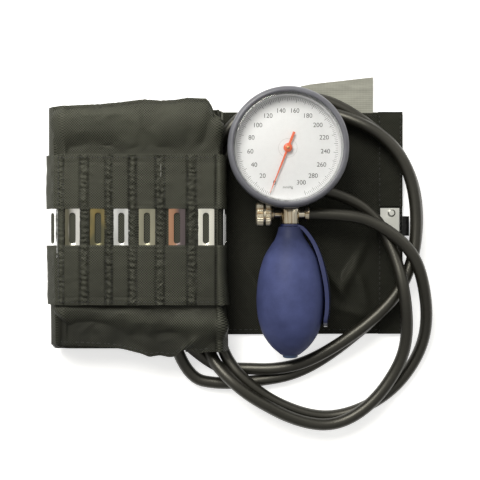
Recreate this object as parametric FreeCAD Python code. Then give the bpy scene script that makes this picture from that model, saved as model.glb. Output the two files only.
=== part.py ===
import FreeCAD, Part
import math
import os

# Aneroid blood pressure monitor with a hook cuff, as it is put away: the cuff is rolled on itself at
# the left and its flap lies flat at the right, the gauge with its valve and bulb lies on the flap,
# and the two hoses are coiled round it. Millimetres, +Z up. The origin is at the middle of the
# footprint of everything but the hoses, on the resting surface.

V = FreeCAD.Vector
X_AXIS = V(1, 0, 0)
Y_AXIS = V(0, 1, 0)
Z_AXIS = V(0, 0, 1)

# ---------------------------------------------------------------- driving dimensions
HALF_LENGTH = 105.5          # half the object's length along X, hoses apart
HALF_WIDTH = 82.5            # half its width along Y

# cuff
PLY = 1.25                   # one ply of coated nylon with its backing
BLADDER_THICK = 6.0          # rubber bladder, empty
FLAP_RIGHT = 102.0           # right-hand edge of the flat flap
FLAP_Y = (-71.0, 61.5)       # lower and upper edges of the flap
ROLL_Y = (-79.0, 63.0)       # lower and upper edges of the rolled part
ROLL_LEFT = -103.3           # outer face of the left fold
ROLL_RIGHT = -5.8            # outer face of the right fold
ROLL_TOP = 25.0              # top face of the roll
ROLL_CHAMFER = 7.0           # the left fold is flattened by the bar that lies on it
SHELF_Z = 13.0               # middle of the ply that bridges the hoses under the right fold
SHELF_LEFT = -20.5           # where that ply comes down between the hoses and the bladder
INNER_LEFT = -99.5           # left fold of the inner turn
INNER_LOW = 3.5              # middle of the inner turn's lower ply
INNER_HIGH = 19.7            # middle of the inner turn's upper ply
INNER_END = -24.0            # free end of the inner turn
BLADDER_Y = (-72.0, 54.0)

# pocket band with the slotted bars
BAND_THICK = 1.2
BAND_UPPER_Y = (2.9, 33.5)   # the two bands leave a window between them, over the bars
BAND_LOWER_Y = (-52.0, -18.5)
BAND_LOW_Z = (7.0, 12.0)     # where the bands are sewn to the left and right folds
BAR_SIZE = (9.6, 34.0, 0.7)
BAR_SLOT = (3.5, 17.6)
BAR_ROOM = 0.15              # clearance of a bar in its pocket, on each face
BAR_Y = -8.3
BAR_X = (-90.4, -75.9, -62.6, -48.0, -30.9, -14.4)
RIGHT_BAR_Z = 18.0

# hook end
END_BAND_LEFT = 87.4
END_BAND_THICK = 0.8
HOOK_WINDOW_Y = (-15.0, 4.8)
HOOK_PLATE_X = (88.6, 99.9)
HOOK_PLATE_Y = (-12.5, 4.0)
HOOK_SHEET = 0.8
TONGUE_Y = (-12.5, -0.9)
RIVET_X = 95.2
RIVET_Y = (1.1, -9.6)
RIVET_R = 1.2

# gauge
CASE_X, CASE_Y = 32.0, 37.0
CASE_BACK = 11.0             # back face, just clear of the hoses that run under it
CASE_R = 31.0
CASE_WALL = 2.0
BEZEL_R = 34.0
BEZEL_Z = (27.0, 38.5)
LENS_R = 30.9
SIGHT_R = 30.0               # opening of the bezel
DIAL_R = 29.7
DIAL_Z = 29.0
DIAL_THICK = 0.8
RIM_Z = 34.0                 # top of the case wall

# movement: rack sector and pinion
MODULE = 0.45
PRESSURE_ANGLE = math.radians(25.0)
PINION_TEETH = 10
SECTOR_CIRCLE_TEETH = 70     # teeth that the sector would have as a whole wheel
SECTOR_TEETH = 12
BACKLASH = 0.08
SCALE_SWEEP = 318.0          # pointer's travel, degrees
POINTER_REST = -90.0 - 21.5  # pointer's direction at zero pressure, degrees from +X
SECTOR_SWING = SCALE_SWEEP * PINION_TEETH / SECTOR_CIRCLE_TEETH
SECTOR_Z = 24.8
SECTOR_THICK = 0.8
ROCKER_Z = 19.6
ROCKER_SWING = 24.0
ROCKER_ARM = 4.2             # height of the long arm's contact above the rocker's shaft
POST_ARM = 2.5               # distance of the capsule's post from the rocker's shaft
CAPSULE_R = 14.5
PLATE_LOW = (17.0, 18.2)
PLATE_HIGH = (26.5, 27.5)
PILLARS = ((12.0, 14.0), (12.0, -14.0), (-8.0, 19.0), (-8.0, -19.0))

# valve and bulb: one axis along Y
UNIT_X, UNIT_Z = 33.8, 21.9
BLOCK_R = 5.6
BLOCK_Y = (-5.8, 2.9)
SPIGOT_R = 3.5
TAIL_R = 4.5
TAIL_END = -15.0
KNOB_X = (14.1, 23.0)
KNOB_R = 6.6
KNOB_FLUTES = 16
FLUTE_DEPTH = 0.5
SPINDLE_R = 1.2
BUSH_R = 2.3
BUSH_INNER_X = 28.8          # the bush is screwed in this far
BUSH_OUTER_X = 24.8
AIR_BORE_R = 1.4             # air ways through the block
VALVE_SEAT_R = 0.85
OUTLET_R = 3.1               # chamber of the non-return valve in the tail
UNION_R = (2.9, 4.3)         # its neck and its collar
UNION_END = 44.5
RING_Y = (-7.3, -5.85)
RING_R = (4.65, 8.2)
# Y and radius along the bulb's outside, from the valve's tail to the far end, and along its inside
BULB_OUTSIDE = ((-7.35, 6.8), (-11.5, 7.6), (-16.5, 10.4), (-25.5, 14.9), (-35.5, 17.9),
                (-46.9, 19.3), (-58.5, 18.3), (-69.2, 15.0), (-75.5, 10.7), (-80.6, 5.4))
BULB_INSIDE = ((-16.5, 8.0), (-27.0, 13.2), (-43.0, 17.0), (-52.0, 17.0), (-67.0, 13.0), (-74.5, 7.6))
INLET_SOCKET_R = 3.4         # hole in the bulb's far end that holds the inlet valve
REST_ROOT = (-6.0, 9.2)      # Y and outer radius of the finger rest's blade
REST_BEND = (-17.7, 15.5)
REST_CROWN = (-46.9, 23.1)
REST_TIP = (-64.8, 21.2)
REST_THICK = 2.0
REST_HALF_ANGLE = 27.0

# hoses: the points of each route, from the valve or the gauge to the bladder
HOSE_D = 7.0
BULB_HOSE = (
    (44.5, 0, 21.9), (61, 0, 21.9), (81, -3.5, 21.8), (101, -17.5, 21.8), (110, -34, 20),
    (116, -62.5, 9), (111.5, -84.5, 3.6), (95.5, -105.5, 3.6), (72, -118.5, 3.6), (50, -121, 3.6),
    (24, -110.5, 8.8), (6.5, -96.5, 12.7), (-4.5, -83, 8.2), (-9, -64, 6.1), (-8, -33, 6),
    (-8.5, -5, 6), (-8, 17, 6), (-4.5, 34, 6), (9.5, 51.5, 6), (30.5, 60, 6), (54.5, 61.5, 8.2),
    (74.5, 54, 13.8), (89, 45.5, 14.5), (101.5, 30.5, 14.6), (108, 9, 12.9), (108, -17.5, 12.7),
    (103.5, -34, 14.2), (93.5, -51, 14.1), (74, -68.5, 14), (47, -86, 10.8), (27, -91.5, 8.3),
    (6, -91.5, 3.6), (-10, -91.5, 3.8), (-25.1, -81, 7.2))
GAUGE_HOSE = (
    (54.5, 13.5, 17), (70.5, 9.5, 15.1), (86.5, -4, 12.6), (94.5, -22.5, 17.2), (99.5, -44, 22.8),
    (102.5, -69.5, 16.8), (99, -88.5, 11.3), (83, -111.5, 10.9), (61.5, -124.5, 10.8),
    (38.5, -121.5, 12), (13.5, -107.5, 17.9), (0.2, -97, 18.6), (-10, -87, 12.6), (-14.4, -77, 7.2),
    (-16, -62, 6.1), (-16.2, -36, 6), (-15.4, -10, 6), (-16, 12, 6), (-13.5, 31.5, 6),
    (-3.5, 50.5, 6), (16, 66, 6), (41.5, 70.5, 6), (61.5, 66.5, 6), (84.5, 51, 7), (98, 39, 7.4),
    (108, 19, 6.9), (111, -3, 4.6), (108, -26, 6.4), (99, -47, 7.2), (82.5, -63.5, 6.9),
    (57, -84.5, 4.7), (36.5, -95.5, 3.6), (15, -99, 3.6), (-7, -101, 3.6), (-26.5, -97, 3.7),
    (-33, -81, 7.2))

parts = {}


# ---------------------------------------------------------------- geometry helpers
def rod(radius, start, end):
    """A cylinder between two points."""
    along = V(*end) - V(*start)
    return Part.makeCylinder(radius, along.Length, V(*start), along)


def tube(outer, inner, start, end):
    return rod(outer, start, end).cut(rod(inner, start, end))


def block(x, y, z):
    """A box from pairs of limits."""
    return Part.makeBox(x[1] - x[0], y[1] - y[0], z[1] - z[0], V(x[0], y[0], z[0]))


def prism(outline, low, high):
    """A plate with a polygon outline in XY."""
    points = [V(x, y, low) for x, y in outline]
    return Part.Face(Part.makePolygon(points + points[:1])).extrude(V(0, 0, high - low))


def turned(profile, centre, axis, sweep=360.0):
    """A solid of revolution. The profile is a list of (radius, height along the axis) points;
    a point given as a pair of points is the middle and the end of an arc."""
    side = Z_AXIS if axis != Z_AXIS else X_AXIS
    place = lambda p: centre + side * p[0] + axis * p[1]
    edges = []
    here = profile[0]
    for step in list(profile[1:]) + [profile[0]]:
        if isinstance(step[0], tuple):
            edges.append(Part.Arc(place(here), place(step[0]), place(step[1])).toShape())
            here = step[1]
        elif step != here:
            edges.append(Part.LineSegment(place(here), place(step)).toShape())
            here = step
    return Part.Face(Part.Wire(edges)).revolve(centre, axis, sweep)


def beside(outline, distances):
    """The polyline beside another one in XZ, each side at its own distance inside the roll."""
    sides = []
    for a, b, distance in zip(outline, outline[1:], distances):
        length = math.hypot(b[0] - a[0], b[1] - a[1])
        u = ((b[0] - a[0]) / length, (b[1] - a[1]) / length)
        sides.append(((a[0] + u[1] * distance, a[1] - u[0] * distance), u))
    (first, _), (last, along) = sides[0], sides[-1]
    points = [first]
    for (p, u), (q, v) in zip(sides, sides[1:]):
        cross_uv = u[0] * v[1] - u[1] * v[0]
        run = ((q[0] - p[0]) * v[1] - (q[1] - p[1]) * v[0]) / cross_uv
        points.append((p[0] + u[0] * run, p[1] + u[1] * run))
    reach = math.dist(outline[-2], outline[-1])
    points.append((last[0] + along[0] * reach, last[1] + along[1] * reach))
    return points


def rounded(outline, radii):
    """The tangent lines and arcs of an open polyline in XZ, as (start, end, middle or None)."""
    spans = []
    here = outline[0]
    for corner, nearby, radius in zip(outline[1:-1], outline[2:], radii):
        a = V(here[0] - corner[0], 0, here[1] - corner[1]).normalize()
        b = V(nearby[0] - corner[0], 0, nearby[1] - corner[1]).normalize()
        half = a.getAngle(b) / 2
        tip = V(corner[0], 0, corner[1])
        begin = tip + a * (radius / math.tan(half))
        finish = tip + b * (radius / math.tan(half))
        inward = (a + b).normalize()
        middle = tip + inward * (radius / math.sin(half) - radius)
        spans.append((V(here[0], 0, here[1]), begin, None))
        spans.append((begin, finish, middle))
        here = (finish.x, finish.z)
    spans.append((V(here[0], 0, here[1]), V(outline[-1][0], 0, outline[-1][1]), None))
    return spans


def folded_sheet(outline, radii, thickness, y):
    """A sheet that follows a folded path in XZ and is as wide as its Y limits."""
    spans = [s for s in rounded(outline, radii) if (s[0] - s[1]).Length > 1e-6]

    def face_line(offset):
        edges = []
        for start, end, middle in spans:
            if middle is None:
                along = (end - start).normalize()
                shift = V(along.z, 0, -along.x) * offset
                edges.append(Part.LineSegment(start + shift, end + shift).toShape())
            else:
                arc = Part.Arc(start, middle, end).toShape().Curve
                centre = arc.Center
                heading = (end - start).cross(middle - start).y
                grow = offset if heading > 0 else -offset
                scale = (arc.Radius + grow) / arc.Radius
                moved = [centre + (p - centre) * scale for p in (start, middle, end)]
                edges.append(Part.Arc(*moved).toShape())
        return edges

    left = face_line(thickness / 2)
    right = face_line(-thickness / 2)
    caps = [Part.LineSegment(left[0].Vertexes[0].Point, right[0].Vertexes[0].Point).toShape(),
            Part.LineSegment(left[-1].Vertexes[-1].Point, right[-1].Vertexes[-1].Point).toShape()]
    wire = Part.Wire(Part.__sortEdges__(left + right + caps))
    sheet = Part.Face(wire).extrude(V(0, y[1] - y[0], 0))
    sheet.translate(V(0, y[0], 0))
    return sheet


def hose(name, route):
    """A round hose along straight runs joined by tangent arcs; prints its radii and volume."""
    points = [V(*p) for p in route]
    edges, radii = [], []
    here = points[0]
    for before, corner, after in zip(points, points[1:], points[2:]):
        a, b = before - corner, after - corner
        trim = 0.45 * min(a.Length, b.Length)
        half_turn = (math.pi - a.getAngle(b)) / 2
        radius = trim / math.tan(half_turn)
        a.normalize()
        b.normalize()
        begin, finish = corner + a * trim, corner + b * trim
        middle = corner + (a + b).normalize() * (radius / math.cos(half_turn) - radius)
        edges.append(Part.LineSegment(here, begin).toShape())
        edges.append(Part.Arc(begin, middle, finish).toShape())
        radii.append(radius)
        here = finish
    edges.append(Part.LineSegment(here, points[-1]).toShape())
    path = Part.Wire(edges)
    section = Part.Wire(Part.makeCircle(HOSE_D / 2, points[0], points[1] - points[0]))
    solid = path.makePipe(Part.Face(section))
    ideal = math.pi * HOSE_D ** 2 / 4 * path.Length
    print(name, "length", round(path.Length, 1), "volume/ideal", round(solid.Volume / ideal, 4),
          "smallest radii", [round(r, 1) for r in sorted(radii)[:6]])
    return solid


# ---------------------------------------------------------------- cuff
def cuff_paths():
    """Middle lines, in XZ, of the cover, the lining and the bladder, with their fold radii."""
    low, high = PLY / 2, ROLL_TOP - PLY / 2
    left, right = ROLL_LEFT + PLY / 2, ROLL_RIGHT - PLY / 2
    gap = PLY + BLADDER_THICK                       # cover to lining where the bladder lies
    core = gap / 2                                  # cover to the bladder's middle
    turn = (INNER_HIGH - INNER_LOW) / 2 - 0.02
    cover = [(FLAP_RIGHT, low), (left, low), (left, high - ROLL_CHAMFER),
             (left + ROLL_CHAMFER, high), (right, high), (right, SHELF_Z), (SHELF_LEFT, SHELF_Z),
             (SHELF_LEFT, INNER_LOW), (INNER_LEFT, INNER_LOW), (INNER_LEFT, INNER_HIGH),
             (INNER_END, INNER_HIGH)]
    cover_radii = [6.0, 2.5, 2.5, 2.2, 2.2, 1.2, 1.5, turn, turn]
    lining = beside(cover, [PLY] * 7 + [gap] * 3)
    lining_radii = [6.0 - PLY, 2.5 - PLY, 2.5 - PLY, 2.2 - PLY, 2.2 - PLY, 1.2 + PLY, 0.9,
                    turn - gap, turn - gap]
    bladder = beside([(SHELF_LEFT - 2.3, INNER_LOW)] + cover[8:], [core] * 3)
    return (cover, cover_radii), (lining, lining_radii), (bladder, [turn - core] * 2)


def flap_trim():
    """The cloth that the flap's taper leaves off, beside the flat plies only."""
    top, out = 2 * PLY + 0.02, 95.0
    lower = [(-60, ROLL_Y[0]), (-8, FLAP_Y[0] - 0.6), (FLAP_RIGHT + 5, FLAP_Y[0]),
             (FLAP_RIGHT + 5, -out), (-60, -out)]
    upper = [(-60, ROLL_Y[1]), (-8, FLAP_Y[1]), (FLAP_RIGHT + 5, FLAP_Y[1]),
             (FLAP_RIGHT + 5, out), (-60, out)]
    return prism(lower, -1, top), prism(upper, -1, top)


def make_cuff():
    cover, lining, bladder = cuff_paths()
    rivets = [rod(RIVET_R, (RIVET_X, y, -1), (RIVET_X, y, 4 * PLY)) for y in RIVET_Y]
    recesses = [rod(2 * RIVET_R, (RIVET_X, y, -1), (RIVET_X, y, 0.5)) for y in RIVET_Y]
    trims = list(flap_trim())
    parts["cuff_cover"] = folded_sheet(*cover, PLY, ROLL_Y).cut(trims + rivets + recesses)
    parts["cuff_lining"] = folded_sheet(*lining, PLY, ROLL_Y).cut(trims + rivets)
    bag = folded_sheet(*bladder, BLADDER_THICK, BLADDER_Y)
    nipples = []
    for end in (BULB_HOSE[-1], GAUGE_HOSE[-1]):
        root = (end[0], BLADDER_Y[0] + 4, end[2])
        bag = bag.cut(rod(2.2, (end[0], BLADDER_Y[0] - 1, end[2]), root))
        nipple = tube(2.2, 1.4, root, end)
        nipples.append(nipple.cut([parts["hose_bulb"], parts["hose_gauge"]]))
    parts["air_bladder"] = bag
    parts["bladder_ports"] = Part.makeCompound(nipples)
    tab = [(41.5, FLAP_Y[1]), (84.7, FLAP_Y[1]), (84.3, HALF_WIDTH), (47, HALF_WIDTH - 4.3),
           (41.5, HALF_WIDTH - 5.5)]
    parts["loop_tab"] = prism(tab, 0.4, 0.4 + PLY)


def band_path():
    """Middle line of the pocket bands, over the roll's left fold, top and right fold."""
    cover = cuff_paths()[0][0][1:6]
    away = PLY / 2 + 2 * BAR_ROOM + BAR_SIZE[2] + BAND_THICK / 2
    outline = beside(cover, [-away] * 4)
    outline[0] = (outline[0][0], BAND_LOW_Z[0])
    outline[-1] = (outline[-1][0], BAND_LOW_Z[1])
    return outline, [2.5 + away, 2.5 + away, 2.2 + away]


def make_bars():
    outline, radii = band_path()
    parts["pocket_band_upper"] = folded_sheet(outline, radii, BAND_THICK, BAND_UPPER_Y)
    parts["pocket_band_lower"] = folded_sheet(outline, radii, BAND_THICK, BAND_LOWER_Y)
    wide, tall, thick = BAR_SIZE
    slot_w, slot_l = BAR_SLOT
    reach = (slot_l - slot_w) / 2
    bar = block((-wide / 2, wide / 2), (-tall / 2, tall / 2), (-thick / 2, thick / 2))
    slot = block((-slot_w / 2, slot_w / 2), (-reach, reach), (-thick, thick))
    ends = [rod(slot_w / 2, (0, y, -thick), (0, y, thick)) for y in (-reach, reach)]
    bar = bar.cut([slot] + ends)
    corners = [e for e in bar.Edges if abs(abs(e.CenterOfMass.x) - wide / 2) < 1e-6
               and abs(abs(e.CenterOfMass.y) - tall / 2) < 1e-6]
    bar = bar.makeFillet(1.2, corners)
    rise = BAR_ROOM + thick / 2                     # a bar's middle above the cover's outer face
    lean = rise / math.sqrt(2) - PLY / 2 * (1 - 1 / math.sqrt(2))
    left_bar = (ROLL_LEFT + ROLL_CHAMFER / 2 - lean, ROLL_TOP - ROLL_CHAMFER / 2 + lean, 45.0)
    right_bar = (ROLL_RIGHT + rise, RIGHT_BAR_Z, -90.0)
    places = [left_bar] + [(x, ROLL_TOP + rise, 0.0) for x in BAR_X] + [right_bar]
    for number, (x, z, tilt) in enumerate(places, 1):
        one = bar.copy()
        one.rotate(V(0, 0, 0), Y_AXIS, -tilt)
        one.translate(V(x, BAR_Y, z))
        parts["clasp_bar_%d" % number] = one


def make_hook():
    top = 2 * PLY
    window = block((HOOK_PLATE_X[0] - 0.4, FLAP_RIGHT + 1), HOOK_WINDOW_Y, (top - 1, top + 3))
    band = block((END_BAND_LEFT, FLAP_RIGHT), FLAP_Y, (top, top + END_BAND_THICK))
    parts["end_band"] = band.cut(window)
    tongue_top = top + HOOK_SHEET
    plate = block(HOOK_PLATE_X, HOOK_PLATE_Y, (tongue_top, tongue_top + HOOK_SHEET))
    root = block((HOOK_PLATE_X[0] + 0.8, HOOK_PLATE_X[1]), HOOK_PLATE_Y, (top, tongue_top))
    curl_r = 2.5
    centre = V(HALF_LENGTH - curl_r, 0, top + curl_r)
    inner = curl_r - HOOK_SHEET
    profile = [centre + V(0, 0, -curl_r), centre + V(curl_r, 0, 0), centre + V(0, 0, curl_r),
               centre + V(-2, 0, curl_r), centre + V(-2, 0, inner), centre + V(0, 0, inner),
               centre + V(inner, 0, 0), centre + V(0, 0, -inner)]
    start = V(HOOK_PLATE_X[1] - 2, 0, 0)
    low, high = V(start.x, 0, top), V(start.x, 0, tongue_top)
    wire = Part.Wire([
        Part.LineSegment(low, profile[0]).toShape(),
        Part.Arc(profile[0], profile[1], profile[2]).toShape(),
        Part.LineSegment(profile[2], profile[3]).toShape(),
        Part.LineSegment(profile[3], profile[4]).toShape(),
        Part.LineSegment(profile[4], profile[5]).toShape(),
        Part.Arc(profile[5], profile[6], profile[7]).toShape(),
        Part.LineSegment(profile[7], high).toShape(),
        Part.LineSegment(high, low).toShape()])
    tongue = Part.Face(wire).extrude(V(0, TONGUE_Y[1] - TONGUE_Y[0], 0))
    tongue.translate(V(0, TONGUE_Y[0], 0))
    shanks, heads = [], []
    for y in RIVET_Y:
        shanks.append(rod(RIVET_R, (RIVET_X, y, -1), (RIVET_X, y, 6)))
        over = tongue_top + HOOK_SHEET
        dome = turned([(0, 0), (2.3, 0), (2.3, 0.3), (1.5, 0.9), (0, 0.9)], V(RIVET_X, y, over),
                      Z_AXIS)
        foot = rod(2 * RIVET_R, (RIVET_X, y, 0), (RIVET_X, y, 0.5))
        heads.append(dome.fuse([rod(RIVET_R, (RIVET_X, y, 0), (RIVET_X, y, over)), foot]))
    parts["hook_plate"] = plate.cut(shanks)
    parts["hook_tongue"] = root.fuse(tongue).removeSplitter().cut(shanks)
    parts["hook_rivets"] = Part.makeCompound(heads)


# ---------------------------------------------------------------- gauge
CASE = V(CASE_X, CASE_Y, 0)


def gauge_port():
    """The gauge hose's nipple: its outer end, its direction and its inner end."""
    end = V(*GAUGE_HOSE[0])
    along = (V(*GAUGE_HOSE[1]) - end).normalize()
    return end, along, end - along * 7


def make_case():
    floor = CASE_BACK + CASE_WALL
    seat = DIAL_R + 0.1
    inner_r, belly = CASE_R - CASE_WALL, 20.2
    shell = turned([(0, CASE_BACK), (23.5, CASE_BACK), (26.3, 13.2), (CASE_R, 19.5), (CASE_R, RIM_Z),
                    (seat, RIM_Z), (seat, DIAL_Z), (inner_r, DIAL_Z), (inner_r, belly),
                    (24.6, floor), (0, floor)], CASE, Z_AXIS)
    boss = rod(5.0, (UNIT_X, BLOCK_Y[1], UNIT_Z), (UNIT_X, CASE_Y - 27.6, UNIT_Z))
    cavity = Part.makeCylinder(inner_r, DIAL_Z - belly, CASE + V(0, 0, belly))
    boss = boss.cut(cavity)
    studs = [rod(1.9, (CASE_X + x, CASE_Y + y, floor - 0.5), (CASE_X + x, CASE_Y + y, PLATE_LOW[0]))
             for x, y in PILLARS]
    shell = shell.fuse([boss] + studs)
    socket = rod(SPIGOT_R, (UNIT_X, BLOCK_Y[1] - 1, UNIT_Z), (UNIT_X, BLOCK_Y[1] + 4, UNIT_Z))
    passage = rod(1.5, (UNIT_X, BLOCK_Y[1], UNIT_Z), (UNIT_X, CASE_Y - 20, UNIT_Z))
    holes = [rod(0.9, (CASE_X + x, CASE_Y + y, 14), (CASE_X + x, CASE_Y + y, 30)) for x, y in PILLARS]
    end, along, inner = gauge_port()
    port = Part.makeCylinder(3.0, 20, inner, along)
    parts["gauge_case"] = shell.cut([socket, passage, port] + holes).removeSplitter()
    nipple = Part.makeCylinder(3.0, 7, inner, along).cut(Part.makeCylinder(1.5, 7, inner, along))
    parts["gauge_nipple"] = nipple


def make_bezel():
    low, high = BEZEL_Z
    lip = high - 1.7
    parts["bezel_ring"] = turned(
        [(CASE_R, low), (33.0, low), (BEZEL_R, low + 1.4), (BEZEL_R, high - 3.2),
         (33.3, high - 1.2), (31.8, high), (SIGHT_R + 0.8, high), (SIGHT_R, high - 0.8),
         (SIGHT_R, lip), (CASE_R, lip)], CASE, Z_AXIS)
    parts["lens_gasket"] = turned([(29.8, RIM_Z), (CASE_R, RIM_Z), (CASE_R, RIM_Z + 1),
                                   (29.8, RIM_Z + 1)], CASE, Z_AXIS)
    base = RIM_Z + 1
    parts["lens"] = turned([(0, base + 1.2), (27.0, base + 1.2), (29.0, base), (LENS_R, base),
                            (LENS_R, lip), (SIGHT_R, lip), (SIGHT_R - 2.0, high - 0.6),
                            (0, high - 0.6)], CASE, Z_AXIS)
    plate = Part.makeCylinder(DIAL_R, DIAL_THICK, CASE + V(0, 0, DIAL_Z))
    parts["dial_plate"] = plate.cut(Part.makeCylinder(1.3, 5, CASE + V(0, 0, DIAL_Z - 1)))


def involute(angle):
    return math.tan(angle) - angle


def tooth_outline(teeth, addendum, dedendum, centre_angle):
    """One tooth's outline as (radius, angle) pairs, from root to tip and back down."""
    pitch_r = MODULE * teeth / 2
    base_r = pitch_r * math.cos(PRESSURE_ANGLE)
    half = math.pi / (2 * teeth) - BACKLASH / (2 * pitch_r)
    root_r, tip_r = pitch_r - dedendum, pitch_r + addendum
    start_r = max(base_r, root_r)
    flank = []
    if root_r < base_r:
        flank.append((root_r, half + involute(PRESSURE_ANGLE)))
    for step in range(5):
        r = start_r + (tip_r - start_r) * step / 4
        flank.append((r, half + involute(PRESSURE_ANGLE) - involute(math.acos(base_r / r))))
    rising = [(r, centre_angle - a) for r, a in flank]
    return rising + [(r, centre_angle + a) for r, a in reversed(flank)]


def polar(centre, r, angle, z):
    return V(centre.x + r * math.cos(angle), centre.y + r * math.sin(angle), z)


def gear_plate(centre, outline, low, high):
    points = [polar(centre, r, a, low) for r, a in outline]
    return Part.Face(Part.makePolygon(points + points[:1])).extrude(V(0, 0, high - low))


def make_movement():
    pinion_r = MODULE * PINION_TEETH / 2
    sector_r = MODULE * SECTOR_CIRCLE_TEETH / 2
    pivot = CASE + V(-(pinion_r + sector_r), 0, 0)
    # plates, pillars and screws
    low = Part.makeCylinder(24.0, PLATE_LOW[1] - PLATE_LOW[0], CASE + V(0, 0, PLATE_LOW[0]))
    high = Part.makeCylinder(22.0, PLATE_HIGH[1] - PLATE_HIGH[0], CASE + V(0, 0, PLATE_HIGH[0]))
    post = CASE + V(-5.0, -POST_ARM, 0)
    screw_holes, pillars, screws = [], [], []
    for x, y in PILLARS:
        foot = (CASE_X + x, CASE_Y + y)
        screw_holes.append(rod(0.9, foot + (10,), foot + (30,)))
        pillars.append(tube(1.6, 0.9, foot + (PLATE_LOW[1],), foot + (PLATE_HIGH[0],)))
        head = rod(1.7, foot + (PLATE_HIGH[1],), foot + (PLATE_HIGH[1] + 0.9,))
        slot = block((foot[0] - 2, foot[0] + 2), (foot[1] - 0.25, foot[1] + 0.25),
                     (PLATE_HIGH[1] + 0.5, 30))
        screws.append(head.fuse(rod(0.9, foot + (14.2,), foot + (PLATE_HIGH[1],))).cut(slot))
    arbor_hole = rod(0.55, (CASE_X, CASE_Y, 10), (CASE_X, CASE_Y, 28.5))
    pivot_hole = rod(0.65, (pivot.x, pivot.y, 10), (pivot.x, pivot.y, 28.5))
    post_hole = rod(1.6, (post.x, post.y, 10), (post.x, post.y, 20))
    ears = []
    for x in (-14.4, -7.6):
        ear = block((CASE_X + x - 0.5, CASE_X + x + 0.5), (CASE_Y - 1.3, CASE_Y + 1.3),
                    (PLATE_LOW[1], ROCKER_Z + 1.2))
        ears.append(ear)
    shaft_bore = rod(0.65, (CASE_X - 15, CASE_Y, ROCKER_Z), (CASE_X - 7, CASE_Y, ROCKER_Z))
    low = low.fuse(ears).cut(screw_holes + [arbor_hole, pivot_hole, post_hole, shaft_bore])
    parts["lower_plate"] = low
    parts["upper_plate"] = high.cut(screw_holes + [arbor_hole, pivot_hole])
    parts["movement_pillars"] = Part.makeCompound(pillars)
    parts["movement_screws"] = Part.makeCompound(screws)
    # pinion on its arbor
    outline = []
    for tooth in range(PINION_TEETH):
        angle = math.pi + math.pi / PINION_TEETH + tooth * 2 * math.pi / PINION_TEETH
        outline += tooth_outline(PINION_TEETH, MODULE, 0.42, angle)
    wheel = gear_plate(CASE, outline, SECTOR_Z - 0.5, SECTOR_Z + SECTOR_THICK + 0.5)
    arbor = rod(0.5, (CASE_X, CASE_Y, PLATE_LOW[0] + 0.2), (CASE_X, CASE_Y, 32.6))
    parts["pinion_arbor"] = wheel.fuse(arbor)
    # sector: toothed rim, two spokes and a hub on its own arbor
    pitch = 2 * math.pi / SECTOR_CIRCLE_TEETH
    outline = []
    for tooth in range(1 - SECTOR_TEETH + 1, 2):
        outline += tooth_outline(SECTOR_CIRCLE_TEETH, 0.6 * MODULE, MODULE + 0.12, tooth * pitch)
    first, last = outline[0][1] - pitch / 2, outline[-1][1] + pitch / 2
    root_r, rim_r = outline[0][0], sector_r - 3.0
    steps = 6
    inner = [(rim_r, last + (first - last) * n / steps) for n in range(steps + 1)]
    rim = [(root_r, first)] + outline + [(root_r, last)] + inner
    top = SECTOR_Z + SECTOR_THICK
    sector = gear_plate(pivot, rim, SECTOR_Z, top)
    hub = Part.makeCylinder(1.9, SECTOR_THICK, pivot + V(0, 0, SECTOR_Z))
    spokes = []
    for angle in (first + 0.1, last - 0.1):
        spoke = block((1.0, rim_r + 1.0), (-0.7, 0.7), (SECTOR_Z, top))
        spoke.rotate(V(0, 0, 0), Z_AXIS, math.degrees(angle))
        spoke.translate(V(pivot.x, pivot.y, 0))
        spokes.append(spoke)
    tail_r = 2 * ROCKER_ARM * math.sin(math.radians(ROCKER_SWING / 2)) / math.radians(SECTOR_SWING)
    tail_angle = -math.radians(SECTOR_SWING / 2)
    tail = polar(pivot, tail_r, tail_angle, SECTOR_Z - 1.8)
    web = Part.makeCylinder(0.9, SECTOR_THICK, tail + V(0, 0, 1.8))
    pin = Part.makeCylinder(0.35, 1.8 + SECTOR_THICK, tail)
    axle = rod(0.6, (pivot.x, pivot.y, PLATE_LOW[0] + 0.2), (pivot.x, pivot.y, PLATE_HIGH[1] - 0.1))
    parts["sector_gear"] = sector.fuse([hub, web, pin, axle] + spokes).removeSplitter()
    # rocker: a shaft with a short arm over the capsule's post and a long arm behind the sector's pin
    shaft = rod(0.6, (CASE_X - 16.6, CASE_Y, ROCKER_Z), (CASE_X - 3.4, CASE_Y, ROCKER_Z))
    long_arm = block((CASE_X - 16.6, CASE_X - 15.2), (CASE_Y - 1.2, CASE_Y - 0.5),
                     (ROCKER_Z - 0.3, ROCKER_Z + ROCKER_ARM + 0.5))
    short_arm = block((CASE_X - 5.6, CASE_X - 4.4), (CASE_Y - POST_ARM - 0.8, CASE_Y),
                      (ROCKER_Z - 0.35, ROCKER_Z + 0.35))
    rocker = shaft.fuse([long_arm, short_arm])
    rocker.rotate(V(CASE_X, CASE_Y, ROCKER_Z), X_AXIS, ROCKER_SWING / 2)
    parts["rocker"] = rocker.removeSplitter()
    # capsule and its post
    make_capsule(post)
    # hairspring: a flat spiral from the arbor to a stud
    parts["hairspring"] = make_hairspring()


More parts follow.
